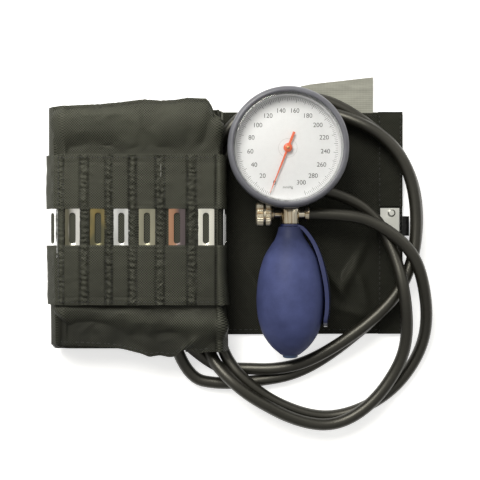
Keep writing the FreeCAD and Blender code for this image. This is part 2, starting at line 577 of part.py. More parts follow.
def make_capsule(post):
    """Two corrugated diaphragms joined at the rim, on a seat, with a post for the rocker."""
    bottom, top = CASE_BACK + CASE_WALL + 0.8, PLATE_LOW[0] - 0.5
    middle, wave, grooves = (bottom + top) / 2, 0.45, 2
    centre = V(post.x, post.y, 0)
    pitch = (CAPSULE_R - 5.0) / (2 * grooves)
    radii = [CAPSULE_R - 1.0 - pitch * n for n in range(2 * grooves + 1)]
    depths = [wave * (n % 2) for n in range(2 * grooves + 1)]
    upper = [(r, top - d) for r, d in zip(radii, depths)]
    lower = [(r, bottom + d) for r, d in zip(radii, depths)]
    profile = [(0, bottom)] + lower[::-1] + [(CAPSULE_R, middle - 0.3), (CAPSULE_R, middle + 0.3)]
    parts["pressure_capsule"] = turned(profile + upper + [(0, top)], centre, Z_AXIS)
    parts["capsule_seat"] = Part.makeCylinder(4.0, 0.8, centre + V(0, 0, bottom - 0.8))
    low_end = ROCKER_Z - POST_ARM * math.sin(math.radians(ROCKER_SWING / 2)) - 0.35
    parts["capsule_post"] = Part.makeCylinder(0.8, low_end - 0.2 - top, centre + V(0, 0, top))


def make_hairspring():
    """A flat spiral of half-turn arcs that grow outwards, with the stud that holds its end."""
    half_turns, inner_r, step, width, low, high = 6, 1.2, 0.6, 0.14, 21.6, 22.2
    faces = []
    for offset in (0, width):
        edges = []
        for n in range(half_turns):
            side = 1 if n % 2 == 0 else -1
            near, far = inner_r + step * n + offset, inner_r + step * (n + 1) + offset
            start, end = CASE + V(side * near, 0, low), CASE + V(-side * far, 0, low)
            middle = CASE + V(side * (near - far) / 2, side * (near + far) / 2, low)
            edges.append(Part.Arc(start, middle, end).toShape())
        faces.append(edges)
    inner, outer = faces
    ends = [Part.LineSegment(inner[i].Vertexes[i].Point, outer[i].Vertexes[i].Point).toShape()
            for i in (0, -1)]
    wire = Part.Wire(Part.__sortEdges__(inner + outer + ends))
    coil = Part.Face(wire).extrude(V(0, 0, high - low))
    stud_at = CASE + V(inner_r + step * half_turns + width + 0.38, 0, PLATE_LOW[1])
    return coil.fuse(Part.makeCylinder(0.4, high - PLATE_LOW[1], stud_at))


def make_pointer():
    hub = turned([(0.5, 31.0), (2.5, 31.0), (2.5, 31.9), (1.7, 32.4), (0.5, 32.4)], CASE, Z_AXIS)
    long_end, tail_end = 27.6, -9.6
    outline = [(tail_end, 0.75), (long_end - 3, 0.42), (long_end, 0.08), (long_end, -0.08),
               (long_end - 3, -0.42), (tail_end, -0.75)]
    blade = prism(outline, 31.2, 31.6).cut(Part.makeCylinder(2.0, 4, V(0, 0, 30)))
    blade.rotate(V(0, 0, 0), Z_AXIS, POINTER_REST)
    blade.translate(CASE)
    parts["pointer"] = hub.fuse(blade)
    parts["pointer_cap"] = turned([(0.5, 32.4), (1.5, 32.4), (1.5, 32.6), (1.3, 33.1), (0, 33.3),
                                   (0, 32.6), (0.5, 32.6)], CASE, Z_AXIS)


# ---------------------------------------------------------------- valve, bulb and finger rest
UNIT = V(UNIT_X, 0, UNIT_Z)


def cross(x):
    """A point on the valve's cross axis."""
    return (x, 0, UNIT_Z)


def make_valve():
    body = turned([(0, TAIL_END), (TAIL_R - 0.6, TAIL_END), (TAIL_R, TAIL_END + 0.8),
                   (TAIL_R, BLOCK_Y[0]), (BLOCK_R - 0.4, BLOCK_Y[0]), (BLOCK_R, BLOCK_Y[0] + 0.4),
                   (BLOCK_R, BLOCK_Y[1] - 0.4), (BLOCK_R - 0.4, BLOCK_Y[1]), (SPIGOT_R, BLOCK_Y[1]),
                   (SPIGOT_R, BLOCK_Y[1] + 4), (0, BLOCK_Y[1] + 4)], UNIT, Y_AXIS)
    bore = rod(AIR_BORE_R, (UNIT_X, TAIL_END + 1, UNIT_Z), (UNIT_X, BLOCK_Y[1] + 5, UNIT_Z))
    chamber = rod(OUTLET_R, (UNIT_X, TAIL_END - 1, UNIT_Z), (UNIT_X, TAIL_END + 3.4, UNIT_Z))
    bush_hole = rod(BUSH_R, cross(UNIT_X - 10), cross(BUSH_INNER_X + 1.6))
    seat = rod(VALVE_SEAT_R, cross(BUSH_INNER_X), cross(UNIT_X))
    neck_r, collar_r = UNION_R
    spout = rod(neck_r, cross(UNIT_X), cross(UNION_END))
    block = body.cut([bore, chamber, bush_hole, seat, spout])
    washer = tube(neck_r, AIR_BORE_R, cross(UNIT_X + AIR_BORE_R), cross(UNIT_X + 2.0))
    parts["valve_block"] = block.fuse(washer)
    reach = UNION_END - UNIT_X
    parts["hose_union"] = turned([(1.2, 2.0), (neck_r, 2.0), (neck_r, 8.2), (collar_r, 8.2),
                                  (collar_r, reach), (1.2, reach)], UNIT, X_AXIS)
    parts["valve_bush"] = tube(BUSH_R, SPINDLE_R + 0.05, cross(BUSH_OUTER_X), cross(BUSH_INNER_X))
    needle = turned([(0, KNOB_X[0] + 2 - UNIT_X), (SPINDLE_R, KNOB_X[0] + 2 - UNIT_X),
                     (SPINDLE_R, -7.3), (SPINDLE_R - 0.4, -7.3), (SPINDLE_R - 0.4, -6.3),
                     (SPINDLE_R, -6.3), (SPINDLE_R, -4.6), (0.35, -2.4), (0, -2.4)], UNIT, X_AXIS)
    parts["valve_needle"] = needle
    parts["valve_seal"] = turned([(SPINDLE_R - 0.38, -7.25), (SPINDLE_R + 0.01, -7.25),
                                  (SPINDLE_R + 0.01, -6.35), (SPINDLE_R - 0.38, -6.35)], UNIT, X_AXIS)
    low, high = KNOB_X[0] - UNIT_X, KNOB_X[1] - UNIT_X
    knob = turned([(0, low), (KNOB_R - 0.8, low), (KNOB_R, low + 0.8), (KNOB_R, low + 4.3),
                   (KNOB_R - 1.6, low + 4.3), (KNOB_R - 1.6, low + 5.7), (KNOB_R, low + 5.7),
                   (KNOB_R, high - 0.8), (KNOB_R - 0.8, high), (3.8, high), (2.7, high + 1.5),
                   (0, high + 1.5)], UNIT, X_AXIS)
    flutes = [rod(SPINDLE_R, cross(KNOB_X[0] + 2), cross(KNOB_X[1] + 3))]
    out, half = KNOB_R + 0.5, FLUTE_DEPTH + 0.5
    notch = [V(KNOB_X[0] - 1, y, UNIT_Z + z)
             for y, z in ((0, KNOB_R - FLUTE_DEPTH), (half, out), (-half, out))]
    flute = Part.Face(Part.makePolygon(notch + notch[:1])).extrude(V(KNOB_X[1] - KNOB_X[0] + 2, 0, 0))
    for n in range(KNOB_FLUTES):
        one = flute.copy()
        one.rotate(UNIT, X_AXIS, 360.0 * n / KNOB_FLUTES)
        flutes.append(one)
    parts["valve_knob"] = knob.cut(flutes)
    # non-return valve in the tail
    parts["outlet_seat"] = tube(OUTLET_R, 1.2, (UNIT_X, TAIL_END, UNIT_Z),
                                (UNIT_X, TAIL_END + 0.9, UNIT_Z))
    parts["outlet_disc"] = rod(2.5, (UNIT_X, TAIL_END + 0.95, UNIT_Z), (UNIT_X, TAIL_END + 1.55, UNIT_Z))


def turned_between(stations):
    """A closed solid of revolution through (Y, radius) stations on the bulb's axis."""
    profile = [(radius, y) for y, radius in stations]
    return turned([(0, profile[0][1])] + profile + [(0, profile[-1][1])], UNIT, Y_AXIS)


def make_bulb():
    end_y, tip = BULB_OUTSIDE[-1][0], -HALF_WIDTH
    neck = rod(TAIL_R, (UNIT_X, 0, UNIT_Z), (UNIT_X, BULB_INSIDE[0][0] - 1, UNIT_Z))
    socket = rod(INLET_SOCKET_R, (UNIT_X, BULB_INSIDE[-1][0] + 1, UNIT_Z), (UNIT_X, tip, UNIT_Z))
    parts["bulb"] = turned_between(BULB_OUTSIDE).cut([turned_between(BULB_INSIDE), neck, socket])
    inner_end, flap_seat, bore = tip + 9.1, tip + 5.7, 2.7
    parts["inlet_valve"] = turned([(0.9, tip), (3.6, tip), (4.4, tip + 0.8), (4.4, end_y),
                                   (INLET_SOCKET_R, end_y), (INLET_SOCKET_R, inner_end),
                                   (bore, inner_end), (bore, flap_seat), (0.9, flap_seat)],
                                  UNIT, Y_AXIS)
    parts["inlet_disc"] = rod(bore - 0.5, (UNIT_X, flap_seat + 0.05, UNIT_Z),
                              (UNIT_X, flap_seat + 0.65, UNIT_Z))
    parts["inlet_cage"] = tube(bore, 1.5, (UNIT_X, inner_end - 0.9, UNIT_Z),
                               (UNIT_X, inner_end - 0.1, UNIT_Z))


def make_finger_rest():
    stations = (REST_ROOT, REST_BEND, REST_CROWN, REST_TIP)
    outside = [V(UNIT_X, y, UNIT_Z + r) for y, r in stations]
    inside = [p - V(0, 0, REST_THICK) for p in outside]
    edges = [Part.LineSegment(outside[-1], inside[-1]).toShape(),
             Part.LineSegment(inside[0], outside[0]).toShape()]
    for root, bend, top, tip in (outside, inside):
        edges.append(Part.LineSegment(root, bend).toShape())
        edges.append(Part.Arc(bend, top, tip).toShape())
    wire = Part.Wire(Part.__sortEdges__(edges))
    # the profile stands over the axis: it is turned to the right-hand side of the bulb
    blade = Part.Face(wire)
    blade.rotate(UNIT, Y_AXIS, 90 - REST_HALF_ANGLE)
    blade = blade.revolve(UNIT, Y_AXIS, 2 * REST_HALF_ANGLE)
    neck, wide, far = 4.0, 9.2, REST_TIP[0]
    side = Part.Wire([
        Part.LineSegment(V(0, -6, UNIT_Z - neck), V(0, -12, UNIT_Z - neck)).toShape(),
        Part.Arc(V(0, -12, UNIT_Z - neck), V(0, -24, UNIT_Z - 6.6), V(0, -38, UNIT_Z - wide)).toShape(),
        Part.LineSegment(V(0, -38, UNIT_Z - wide), V(0, far + 6, UNIT_Z - wide)).toShape(),
        Part.Arc(V(0, far + 6, UNIT_Z - wide), V(0, far, UNIT_Z), V(0, far + 6, UNIT_Z + wide)).toShape(),
        Part.LineSegment(V(0, far + 6, UNIT_Z + wide), V(0, -38, UNIT_Z + wide)).toShape(),
        Part.Arc(V(0, -38, UNIT_Z + wide), V(0, -24, UNIT_Z + 6.6), V(0, -12, UNIT_Z + neck)).toShape(),
        Part.LineSegment(V(0, -12, UNIT_Z + neck), V(0, -6, UNIT_Z + neck)).toShape(),
        Part.LineSegment(V(0, -6, UNIT_Z + neck), V(0, -6, UNIT_Z - neck)).toShape()])
    outline = Part.Face(side).extrude(V(90, 0, 0))
    ring = tube(RING_R[1], RING_R[0], (UNIT_X, RING_Y[0], UNIT_Z), (UNIT_X, RING_Y[1], UNIT_Z))
    parts["finger_rest"] = blade.common(outline).fuse(ring).removeSplitter()


# ---------------------------------------------------------------- the whole
parts["hose_bulb"] = hose("hose_bulb", BULB_HOSE)
parts["hose_gauge"] = hose("hose_gauge", GAUGE_HOSE)
make_cuff()
make_bars()
make_hook()
make_case()
make_bezel()
make_movement()
make_pointer()
make_valve()
make_bulb()
make_finger_rest()

os.makedirs("parts", exist_ok=True)
for name, shape in parts.items():
    shape.exportStep("parts/%s.step" % name)
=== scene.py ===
import math

import bmesh
import bpy
from bpy.props import FloatProperty, FloatVectorProperty, PointerProperty
from mathutils import Matrix, Vector, noise


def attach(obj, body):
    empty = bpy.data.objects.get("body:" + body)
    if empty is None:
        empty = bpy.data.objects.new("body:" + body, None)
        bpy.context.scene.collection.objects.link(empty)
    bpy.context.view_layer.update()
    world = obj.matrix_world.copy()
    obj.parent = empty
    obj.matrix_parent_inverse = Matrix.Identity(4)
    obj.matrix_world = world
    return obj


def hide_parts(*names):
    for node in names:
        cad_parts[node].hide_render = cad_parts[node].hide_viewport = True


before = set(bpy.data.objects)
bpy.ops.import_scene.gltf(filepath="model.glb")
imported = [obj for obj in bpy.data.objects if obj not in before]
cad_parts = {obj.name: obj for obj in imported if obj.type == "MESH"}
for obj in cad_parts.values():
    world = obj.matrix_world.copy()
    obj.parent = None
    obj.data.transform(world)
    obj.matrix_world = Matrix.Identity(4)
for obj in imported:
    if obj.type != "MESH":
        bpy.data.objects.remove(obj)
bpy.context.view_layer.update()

bl_info = {
    "name": "Aneroid Pressure Monitor",
    "version": (1, 0, 0),
    "blender": (4, 5, 0),
    "location": "View3D > Sidebar > Monitor",
    "description": "Models a blood pressure monitor: its cuff, gauge, valve, bulb and hoses",
    "category": "Add Mesh",
}

MM = 0.001
ROOT = "cuff_and_gauge"
WHITE = (1.0, 1.0, 1.0, 1.0)

# the routes of the two hoses, from the valve or the gauge to the bladder under the right fold
BULB_ROUTE = (
    (0.0445, 0, 0.0219), (0.061, 0, 0.0219), (0.081, -0.0035, 0.0218), (0.101, -0.0175, 0.0218),
    (0.11, -0.034, 0.02), (0.116, -0.0625, 0.009), (0.1115, -0.0845, 0.0036),
    (0.0955, -0.1055, 0.0036), (0.072, -0.1185, 0.0036), (0.05, -0.121, 0.0036),
    (0.024, -0.1105, 0.0088), (0.0065, -0.0965, 0.0127), (-0.0045, -0.083, 0.0082),
    (-0.009, -0.064, 0.0061), (-0.008, -0.033, 0.006), (-0.0085, -0.005, 0.006),
    (-0.008, 0.017, 0.006), (-0.0045, 0.034, 0.006), (0.0095, 0.0515, 0.006),
    (0.0305, 0.06, 0.006), (0.0545, 0.0615, 0.0082), (0.0745, 0.054, 0.0138),
    (0.089, 0.0455, 0.0145), (0.1015, 0.0305, 0.0146), (0.108, 0.009, 0.0129),
    (0.108, -0.0175, 0.0127), (0.1035, -0.034, 0.0142), (0.0935, -0.051, 0.0141),
    (0.074, -0.0685, 0.014), (0.047, -0.086, 0.0108), (0.027, -0.0915, 0.0083),
    (0.006, -0.0915, 0.0036), (-0.01, -0.0915, 0.0038), (-0.0251, -0.0775, 0.0072))
GAUGE_ROUTE = (
    (0.0545, 0.0135, 0.017), (0.0705, 0.0095, 0.0151), (0.0865, -0.004, 0.0126),
    (0.0945, -0.0225, 0.0172), (0.0995, -0.044, 0.0228), (0.1025, -0.0695, 0.0168),
    (0.099, -0.0885, 0.0113), (0.083, -0.1115, 0.0109), (0.0615, -0.1245, 0.0108),
    (0.0385, -0.1215, 0.012), (0.0135, -0.1075, 0.0179), (0.0002, -0.097, 0.0186),
    (-0.01, -0.087, 0.0126), (-0.0144, -0.077, 0.0072), (-0.016, -0.062, 0.0061),
    (-0.0162, -0.036, 0.006), (-0.0154, -0.01, 0.006), (-0.016, 0.012, 0.006),
    (-0.0135, 0.0315, 0.006), (-0.0035, 0.0505, 0.006), (0.016, 0.066, 0.006),
    (0.0415, 0.0705, 0.006), (0.0615, 0.0665, 0.006), (0.0845, 0.051, 0.007),
    (0.098, 0.039, 0.0074), (0.108, 0.019, 0.0069), (0.111, -0.003, 0.0046),
    (0.108, -0.026, 0.0064), (0.099, -0.047, 0.0072), (0.0825, -0.0635, 0.0069),
    (0.057, -0.0845, 0.0047), (0.0365, -0.0955, 0.0036), (0.015, -0.099, 0.0036),
    (-0.007, -0.101, 0.0036), (-0.0265, -0.097, 0.0037), (-0.033, -0.0775, 0.0072))

# from here on to the gauge's place, all in millimetres
# the cover's folded line in XZ, from the flap's right-hand end, and its folds' radii
COVER_LINE = ((102, 0.625), (-102.675, 0.625), (-102.675, 17.375), (-95.675, 24.375),
              (-6.425, 24.375), (-6.425, 13), (-20.5, 13), (-20.5, 3.5), (-99.5, 3.5),
              (-99.5, 19.7), (-24, 19.7))
COVER_FOLDS = (6.0, 2.5, 2.5, 2.2, 2.2, 1.2, 1.5, 8.08, 8.08)
ROLL_UNDER_TOP = 20.5
FLAP_BELOW = 2.6
# edges of the roll's top face and of the flap, as (X, Y)
ROLL_FAR = ((-106, 61.0), (-97, 61.6), (-75, 62.7), (-63, 63.9), (-50, 65.5), (-41, 64.8),
            (-32, 65.2), (-25, 66.4), (-14, 65.8), (-12, 62.7), (-9.8, 58.1), (-6, 53.0))
ROLL_NEAR = ((-106, -75), (-86, -75.5), (-69, -76.4), (-61, -77.8), (-52, -80.1), (-47, -82.0),
             (-41, -81.2), (-35, -82.2), (-32, -81.6), (-29, -78.6), (-25, -77.3), (-22, -78.4),
             (-19, -80.2), (-15, -79.2), (-3, -79))
FLAP_FAR = ((-60, 61.0), (-8, 61.5), (103, 61.5))
FLAP_NEAR = ((-107, -79.8), (-92, -79.0), (-83, -76.5), (-60, -76.5), (-8, -71.6), (103, -71))
INNER_EDGES = (-77.5, 61.0)
# the bars under the pocket band, its double rows of stitches and its windows
BAR_X = (-90.4, -75.9, -62.6, -48.0, -30.9, -14.4)
BAR_Y = -8.3
SEAM_X = (-98.0, -95.4, -85.9, -81.4, -71.3, -67.9, -58.2, -53.9, -42.9, -37.9, -24.8, -19.9, -8.6)
BAND_Y = (-52.0, 33.5)
BAND_ABOVE_COVER = 2.225
WINDOW_Y = (-18.5, 2.9)
WINDOW_X = ((-115, -99.6), (-95.2, -86.6), (-80.7, -72.0), (-67.2, -59.0), (-53.2, -43.6),
            (-37.2, -25.5), (-19.1, -9.4), (-7.2, 5.0))
# the gauge's face: its height, and where its scale starts and how far it goes round
DIAL_TOP = 29.8
SCALE_START, SCALE_SWEEP = math.radians(20.8), math.radians(318.2)
SCALE_END = 300

# the gauge's axis at the table, and where the valve's two axes cross, in metres
DIAL = (0.032, 0.037, 0.0)
UNIT = (0.0338, 0.0, 0.0219)
KNOB_SIDES = 96
# in metres: the threads of the nylon, and where the cover's line runs along the roll's top
THREAD_WIDTH = 0.00073
TOP_RUN = (0.231, 0.318)
# the lamps' colour, the small lamp's share of the power, and the paper's own light
LAMP_COLOUR = (1.0, 0.985, 0.92)
GLINT_SHARE = 0.06
PAPER_GLOW = 0.62


def mm(*values):
    """Metres from millimetres."""
    return tuple(value * MM for value in values)


# ---------------------------------------------------------------- sizes and colours
class HoseSettings(bpy.types.PropertyGroup):
    diameter: FloatProperty(name="Diameter", description="Outside diameter of both hoses",
                            default=0.007, unit="LENGTH")
    bulb_length: FloatProperty(name="Bulb hose", description="Length from the valve to the bladder",
                               default=0.7395, unit="LENGTH")
    gauge_length: FloatProperty(name="Gauge hose",
                                description="Length from the gauge to the bladder",
                                default=0.7692, unit="LENGTH")
    colour: FloatVectorProperty(name="Colour", description="Black rubber", subtype="COLOR",
                                default=(0.0085, 0.0080, 0.0058))


class CuffSettings(bpy.types.PropertyGroup):
    ply: FloatProperty(name="Ply", description="Thickness of one layer of cloth",
                       default=1.25 * MM, unit="LENGTH")
    bladder: FloatProperty(name="Bladder", description="Thickness of the empty bladder",
                           default=6.0 * MM, unit="LENGTH")
    mesh: FloatProperty(name="Mesh size", description="Distance between the points of the cloth",
                        default=2.0 * MM, unit="LENGTH")
    looseness: FloatProperty(name="Looseness",
                             description="How much longer the cloth is than its place",
                             default=0.02, subtype="FACTOR")
    nylon: FloatVectorProperty(name="Nylon", description="Charcoal nylon cloth", subtype="COLOR",
                               default=(0.0272, 0.0280, 0.0210))
    tape: FloatVectorProperty(name="Tape", description="Grey woven tab", subtype="COLOR",
                              default=(0.325, 0.325, 0.280))
    thread: FloatVectorProperty(name="Thread", description="Sewing thread", subtype="COLOR",
                                default=(0.006, 0.006, 0.005))


class GaugeSettings(bpy.types.PropertyGroup):
    case: FloatVectorProperty(name="Case", description="Slate blue case and bezel", subtype="COLOR",
                              default=(0.130, 0.131, 0.154))
    dial: FloatVectorProperty(name="Dial", description="White of the dial", subtype="COLOR",
                              default=(0.78, 0.785, 0.80))
    ink: FloatVectorProperty(name="Ink", description="Grey of the scale and numbers",
                             subtype="COLOR", default=(0.045, 0.045, 0.04))
    hand: FloatVectorProperty(name="Pointer", description="Orange red of the pointer",
                              subtype="COLOR", default=(0.78, 0.12, 0.03))


class ValveSettings(bpy.types.PropertyGroup):
    nickel: FloatVectorProperty(name="Nickel", description="Nickel plate of the valve",
                                subtype="COLOR", default=(0.80, 0.73, 0.58))
    # bronze and dark are the colours of painted reflections: the brown and the dark bands that run
    # along the turned nickel and the knob
    bronze: FloatVectorProperty(name="Brown_reflection", description="Where the plate is worn", subtype="COLOR",
                                default=(0.36, 0.26, 0.15))
    dark: FloatVectorProperty(name="Dark", description="Dark bands in the polish", subtype="COLOR",
                              default=(0.06, 0.055, 0.04))


class BulbSettings(bpy.types.PropertyGroup):
    rubber: FloatVectorProperty(name="Rubber", description="Blue of the bulb", subtype="COLOR",
                                default=(0.058, 0.071, 0.180))
    plastic: FloatVectorProperty(name="Finger rest", description="Dark blue of the finger rest",
                                 subtype="COLOR", default=(0.007, 0.014, 0.085))


class StageSettings(bpy.types.PropertyGroup):
    camera_height: FloatProperty(name="Camera height", description="Above the table",
                                 default=0.5, unit="LENGTH")
    camera_x: FloatProperty(name="Camera X", description="Sideways place of the camera",
                            default=0.005, unit="LENGTH")
    camera_y: FloatProperty(name="Camera Y",
                            description="Place of the camera along the cuff's width",
                            default=-0.015, unit="LENGTH")
    lens: FloatProperty(name="Lens", description="Focal length in millimetres on a 36 mm sensor",
                        default=62.45)
    key_power: FloatProperty(name="Key", description="Power of the large soft lamp in watts",
                             default=11.9)


# ---------------------------------------------------------------- shader nodes
class Value:
    """A node's output, so that a pattern reads as a formula."""

    def __init__(self, nodes, socket):
        self.nodes, self.socket = nodes, socket

    def maths(self, operation, *others):
        return self.nodes.add("Math", {"operation": operation}, dict(enumerate((self,) + others)))

    def __add__(self, other):
        return self.maths("ADD", other)

    __radd__ = __add__

    def __mul__(self, other):
        return self.maths("MULTIPLY", other)

    __rmul__ = __mul__

    def __sub__(self, other):
        return self.maths("SUBTRACT", other)

    def __rsub__(self, other):
        return self * -1 + other

    def sin(self):
        return self.maths("SINE")

    def power(self, exponent):
        return self.maths("POWER", exponent)

    def clamped(self):
        return self.nodes.add("Clamp", {}, {0: self})


class Nodes:
    """A node tree in the making."""

    def __init__(self, tree):
        self.tree = tree

    def add(self, kind, settings=None, sockets=None, output=0):
        """Adds a node, with its settings and then the values or links of its sockets."""
        node = self.tree.nodes.new("ShaderNode" + kind)
        for name, value in (settings or {}).items():
            if name == "stops":
                elements = node.color_ramp.elements
                while len(elements) < len(value):
                    elements.new(0.5)
                for element, (place, colour) in zip(elements, value):
                    element.position, element.color = place, tuple(colour)[:3] + (1.0,)
            else:
                setattr(node, name, value)
        self.feed(node, sockets or {})
        return Value(self, node.outputs[output])

    def feed(self, node, sockets):
        for name, value in sockets.items():
            if isinstance(value, Value):
                self.tree.links.new(value.socket, node.inputs[name])
            else:
                node.inputs[name].default_value = value

    def rays(self, *kinds):
        """1 for light paths of these kinds, seen by the camera, in gloss or through glass."""
        seen = [self.add("LightPath", output="Is %s Ray" % kind) for kind in kinds]
        return sum(seen[1:], seen[0])


class Finish(Nodes):
    """A material in the making: its shader, and the patterns on its own coordinates."""

    def __init__(self, name, colour, roughness, metallic=0.0, **sockets):
        self.material = bpy.data.materials.new(name)
        self.material.use_nodes = True
        super().__init__(self.material.node_tree)
        self.shader = self.tree.nodes["Principled BSDF"]
        self.colour = tuple(colour)[:3]
        self.material.diffuse_color = self.colour + (1.0,)
        self.feed(self.shader, {"Base Color": self.colour + (1.0,), "Roughness": roughness,
                                "Metallic": metallic})
        self.feed(self.shader, {name.replace("_", " "): value for name, value in sockets.items()})

    def axes(self, source="Object", stretch=(1, 1, 1)):
        """The piece's coordinates along X, Y and Z, or U and V."""
        split = self.add("SeparateXYZ", {}, {0: self.place(source, stretch)})
        return [Value(self, output) for output in split.socket.node.outputs]

    def place(self, source="Object", stretch=(1, 1, 1)):
        if source == "UV":
            start = self.add("UVMap")
        else:
            start = self.add("TexCoord", output=source)
        return self.add("Mapping", {}, {"Scale": stretch, "Vector": start})

    def height(self):
        """How far a point of a cloth stands proud of its line, in millimetres."""
        return self.add("Attribute", {"attribute_name": "height"}, output="Fac")

    def cloud(self, scale, detail=3.0, roughness=0.5, stretch=(1, 1, 1)):
        """Soft noise from 0 to 1, this many times to a metre."""
        return self.add("TexNoise", {}, {
            "Vector": self.place(stretch=stretch), "Scale": scale, "Detail": detail,
            "Roughness": roughness}, "Fac")

    def share(self, share, more=0.0):
        """A share of the finish's own colour, and a little more of each part."""
        return tuple(min(1.0, c * share + more) for c in self.colour)

    def tint(self, factor, *stops):
        """Runs the colour through stops: a place, and a share of the own colour or a colour."""
        stops = [(place, self.share(tone) if isinstance(tone, float) else tone)
                 for place, tone in stops]
        ramp = self.add("ValToRGB", {"stops": stops}, {0: factor})
        self.feed(self.shader, {"Base Color": ramp})

    def rough(self, factor, low, high):
        """Runs the roughness from low to high."""
        self.feed(self.shader, {"Roughness": factor * (high - low) + low})

    def bump(self, height, depth, strength=1.0):
        """Relief of a height from 0 to 1, that many metres deep, on top of what there is."""
        sockets = {"Strength": strength, "Distance": depth, "Height": height}
        for link in self.shader.inputs["Normal"].links:
            sockets["Normal"] = Value(self, link.from_socket)
        self.feed(self.shader, {"Normal": self.add("Bump", {}, sockets)})


# ---------------------------------------------------------------- materials
def hose_rubber(colour):
    """Satin black rubber with a little dust in its bloom."""
    finish = Finish("hose rubber", colour, 0.36, Specular_IOR_Level=0.7,
                    Specular_Tint=(1.0, 0.97, 0.86, 1.0))
    dust, bloom = finish.cloud(900.0, 4.0), finish.cloud(35.0)
    finish.tint(dust * 0.5 + bloom * 0.5, (0.35, 0.7), (0.75, 1.9))
    finish.rough(bloom, 0.32, 0.46)
    finish.bump(dust, 0.00003)
    return finish.material


def nylon(name, colour, weave=2.1, gloss=0.32, roughness=0.5, paling=0.09):
    """Plain-woven nylon. Its threads catch the light one after another, as painted glints in its
    colour that are stronger in some places than in others. A painted highlight makes it paler by
    the last argument for each millimetre that it stands out of the roll, and painted light makes it
    paler towards +Y."""
    finish = Finish(name, colour, roughness, Specular_IOR_Level=gloss,
                    Specular_Tint=(1.0, 1.0, 0.86, 1.0))
    across, along, _ = finish.axes("UV")
    turns = math.pi / THREAD_WIDTH
    threads = ((across * turns).sin() * (along * turns).sin() * 0.9 + 0.5).clamped()
    # painted glints: the threads' pattern shows stronger in some places than in others
    glint_patches = (finish.cloud(38.0, 4.0) * 5.0 - 2.1).clamped()
    shown = (threads - 0.5) * (glint_patches * 0.85 + 0.15) * weave + 0.5
    mottled = finish.cloud(28.0, 7.0, 0.62, (1, 0.5, 1)) * 1.5 - 0.25
    # painted light: paler towards +Y, where the lamps are, and a painted highlight that is paler
    # where the cloth stands out of the roll
    mottled = mottled + finish.axes()[1] * 4.4 + finish.height() * (paling / 0.45)
    finish.tint(mottled * 0.45 + shown * 0.7, (0.22, 0.04), (0.94, 2.3))
    finish.rough(shown, roughness + 0.08, roughness - 0.07)
    finish.bump(finish.cloud(240.0, 5.0), 0.0002, 0.5)
    finish.bump(threads, 0.00022, 0.7)
    return finish.material


def woven_tape(name, colour):
    """Grey tape woven in ribs, 1.2 mm apart along it and 0.9 mm across."""
    finish = Finish(name, colour, 0.75, Sheen_Weight=0.2)
    across, along, _ = finish.axes("UV")
    ribs = (along * 5200.0).sin() * 0.5 + 0.5
    ends = (across * 7000.0).sin() * 0.5 + 0.5
    mottled = finish.cloud(260.0, 4.0, stretch=(0.3, 1, 1))
    finish.tint(ribs * 0.16 + ends * 0.12 + mottled * 0.72, (0.2, 0.62), (0.8, 1.22))
    finish.bump(ribs * 0.6 + ends * 0.4, 0.00012, 0.5)
    return finish.material


def sewing_thread(colour):
    """Twisted thread."""
    finish = Finish("thread", colour, 0.6, Sheen_Weight=0.2)
    finish.tint(finish.cloud(2500.0, 2.0), (0.3, 0.7), (0.7, 1.6))
    return finish.material


def turned_nickel(name, colour, dark, warm, axis, roughness=0.14):
    """Polished nickel, turned: bands of bright, olive and brown reflections run along its axis."""
    finish = Finish(name, colour, roughness, 1.0)
    stretch = [1.0, 1.0, 1.0]
    stretch[axis] = 0.03
    finish.tint(finish.cloud(620.0, 3.0, 0.62, stretch), (0.36, dark), (0.44, warm), (0.56, colour))
    finish.rough(finish.cloud(300.0, 4.0), roughness * 0.5, roughness * 1.7)
    return finish.material


def plated_steel(name, colour, patina_and_reflection, roughness=0.16, middle=None):
    """Bright plated metal with drawn lines, smudges and a warm second colour, in places or, where a
    middle is given, on the side towards -X of it. That colour is tarnish on most parts; on the
    bars, both colours are the plating with painted reflections."""
    finish = Finish(name, colour, roughness, 1.0)
    smudge_and_reflection = finish.cloud(55.0, 2.0, stretch=(1, 0.5, 1))
    if middle is not None:
        # painted reflection: where a middle is given, the second colour covers the side towards -X
        # of it
        smudge_and_reflection = (finish.axes()[0] - middle) * 70.0 + smudge_and_reflection * 0.6 + 0.16
    finish.tint(smudge_and_reflection, (0.36, patina_and_reflection), (0.56, colour))
    finish.rough(finish.cloud(160.0, 4.0), roughness * 0.6, roughness * 1.9)
    finish.bump(finish.cloud(9000.0, stretch=(1, 0.02, 1)), 0.00001, 0.4)
    return finish.material


def brass(name, colour=(0.62, 0.45, 0.2)):
    return plated_steel(name, colour, [c * 0.75 for c in colour], 0.3)


def blackened(name, colour):
    """Black finish on steel, rubbed in places."""
    finish = Finish(name, colour, 0.35, 0.6)
    paling = finish.cloud(700.0, 4.0)
    finish.tint(paling, (0.5, 1.0), (0.9, finish.share(2.5, 0.01)))
    finish.rough(paling, 0.25, 0.5)
    return finish.material


def moulded(name, colour, roughness, grain=0.00003, **sockets):
    """Injection-moulded plastic with a fine grain and handling marks."""
    finish = Finish(name, colour, roughness, **sockets)
    marks = finish.cloud(90.0, 5.0)
    finish.tint(marks, (0.3, 0.86), (0.7, 1.12))
    finish.rough(marks, roughness * 0.8, roughness * 1.25)
    finish.bump(finish.cloud(1800.0), grain, 0.6)
    return finish.material


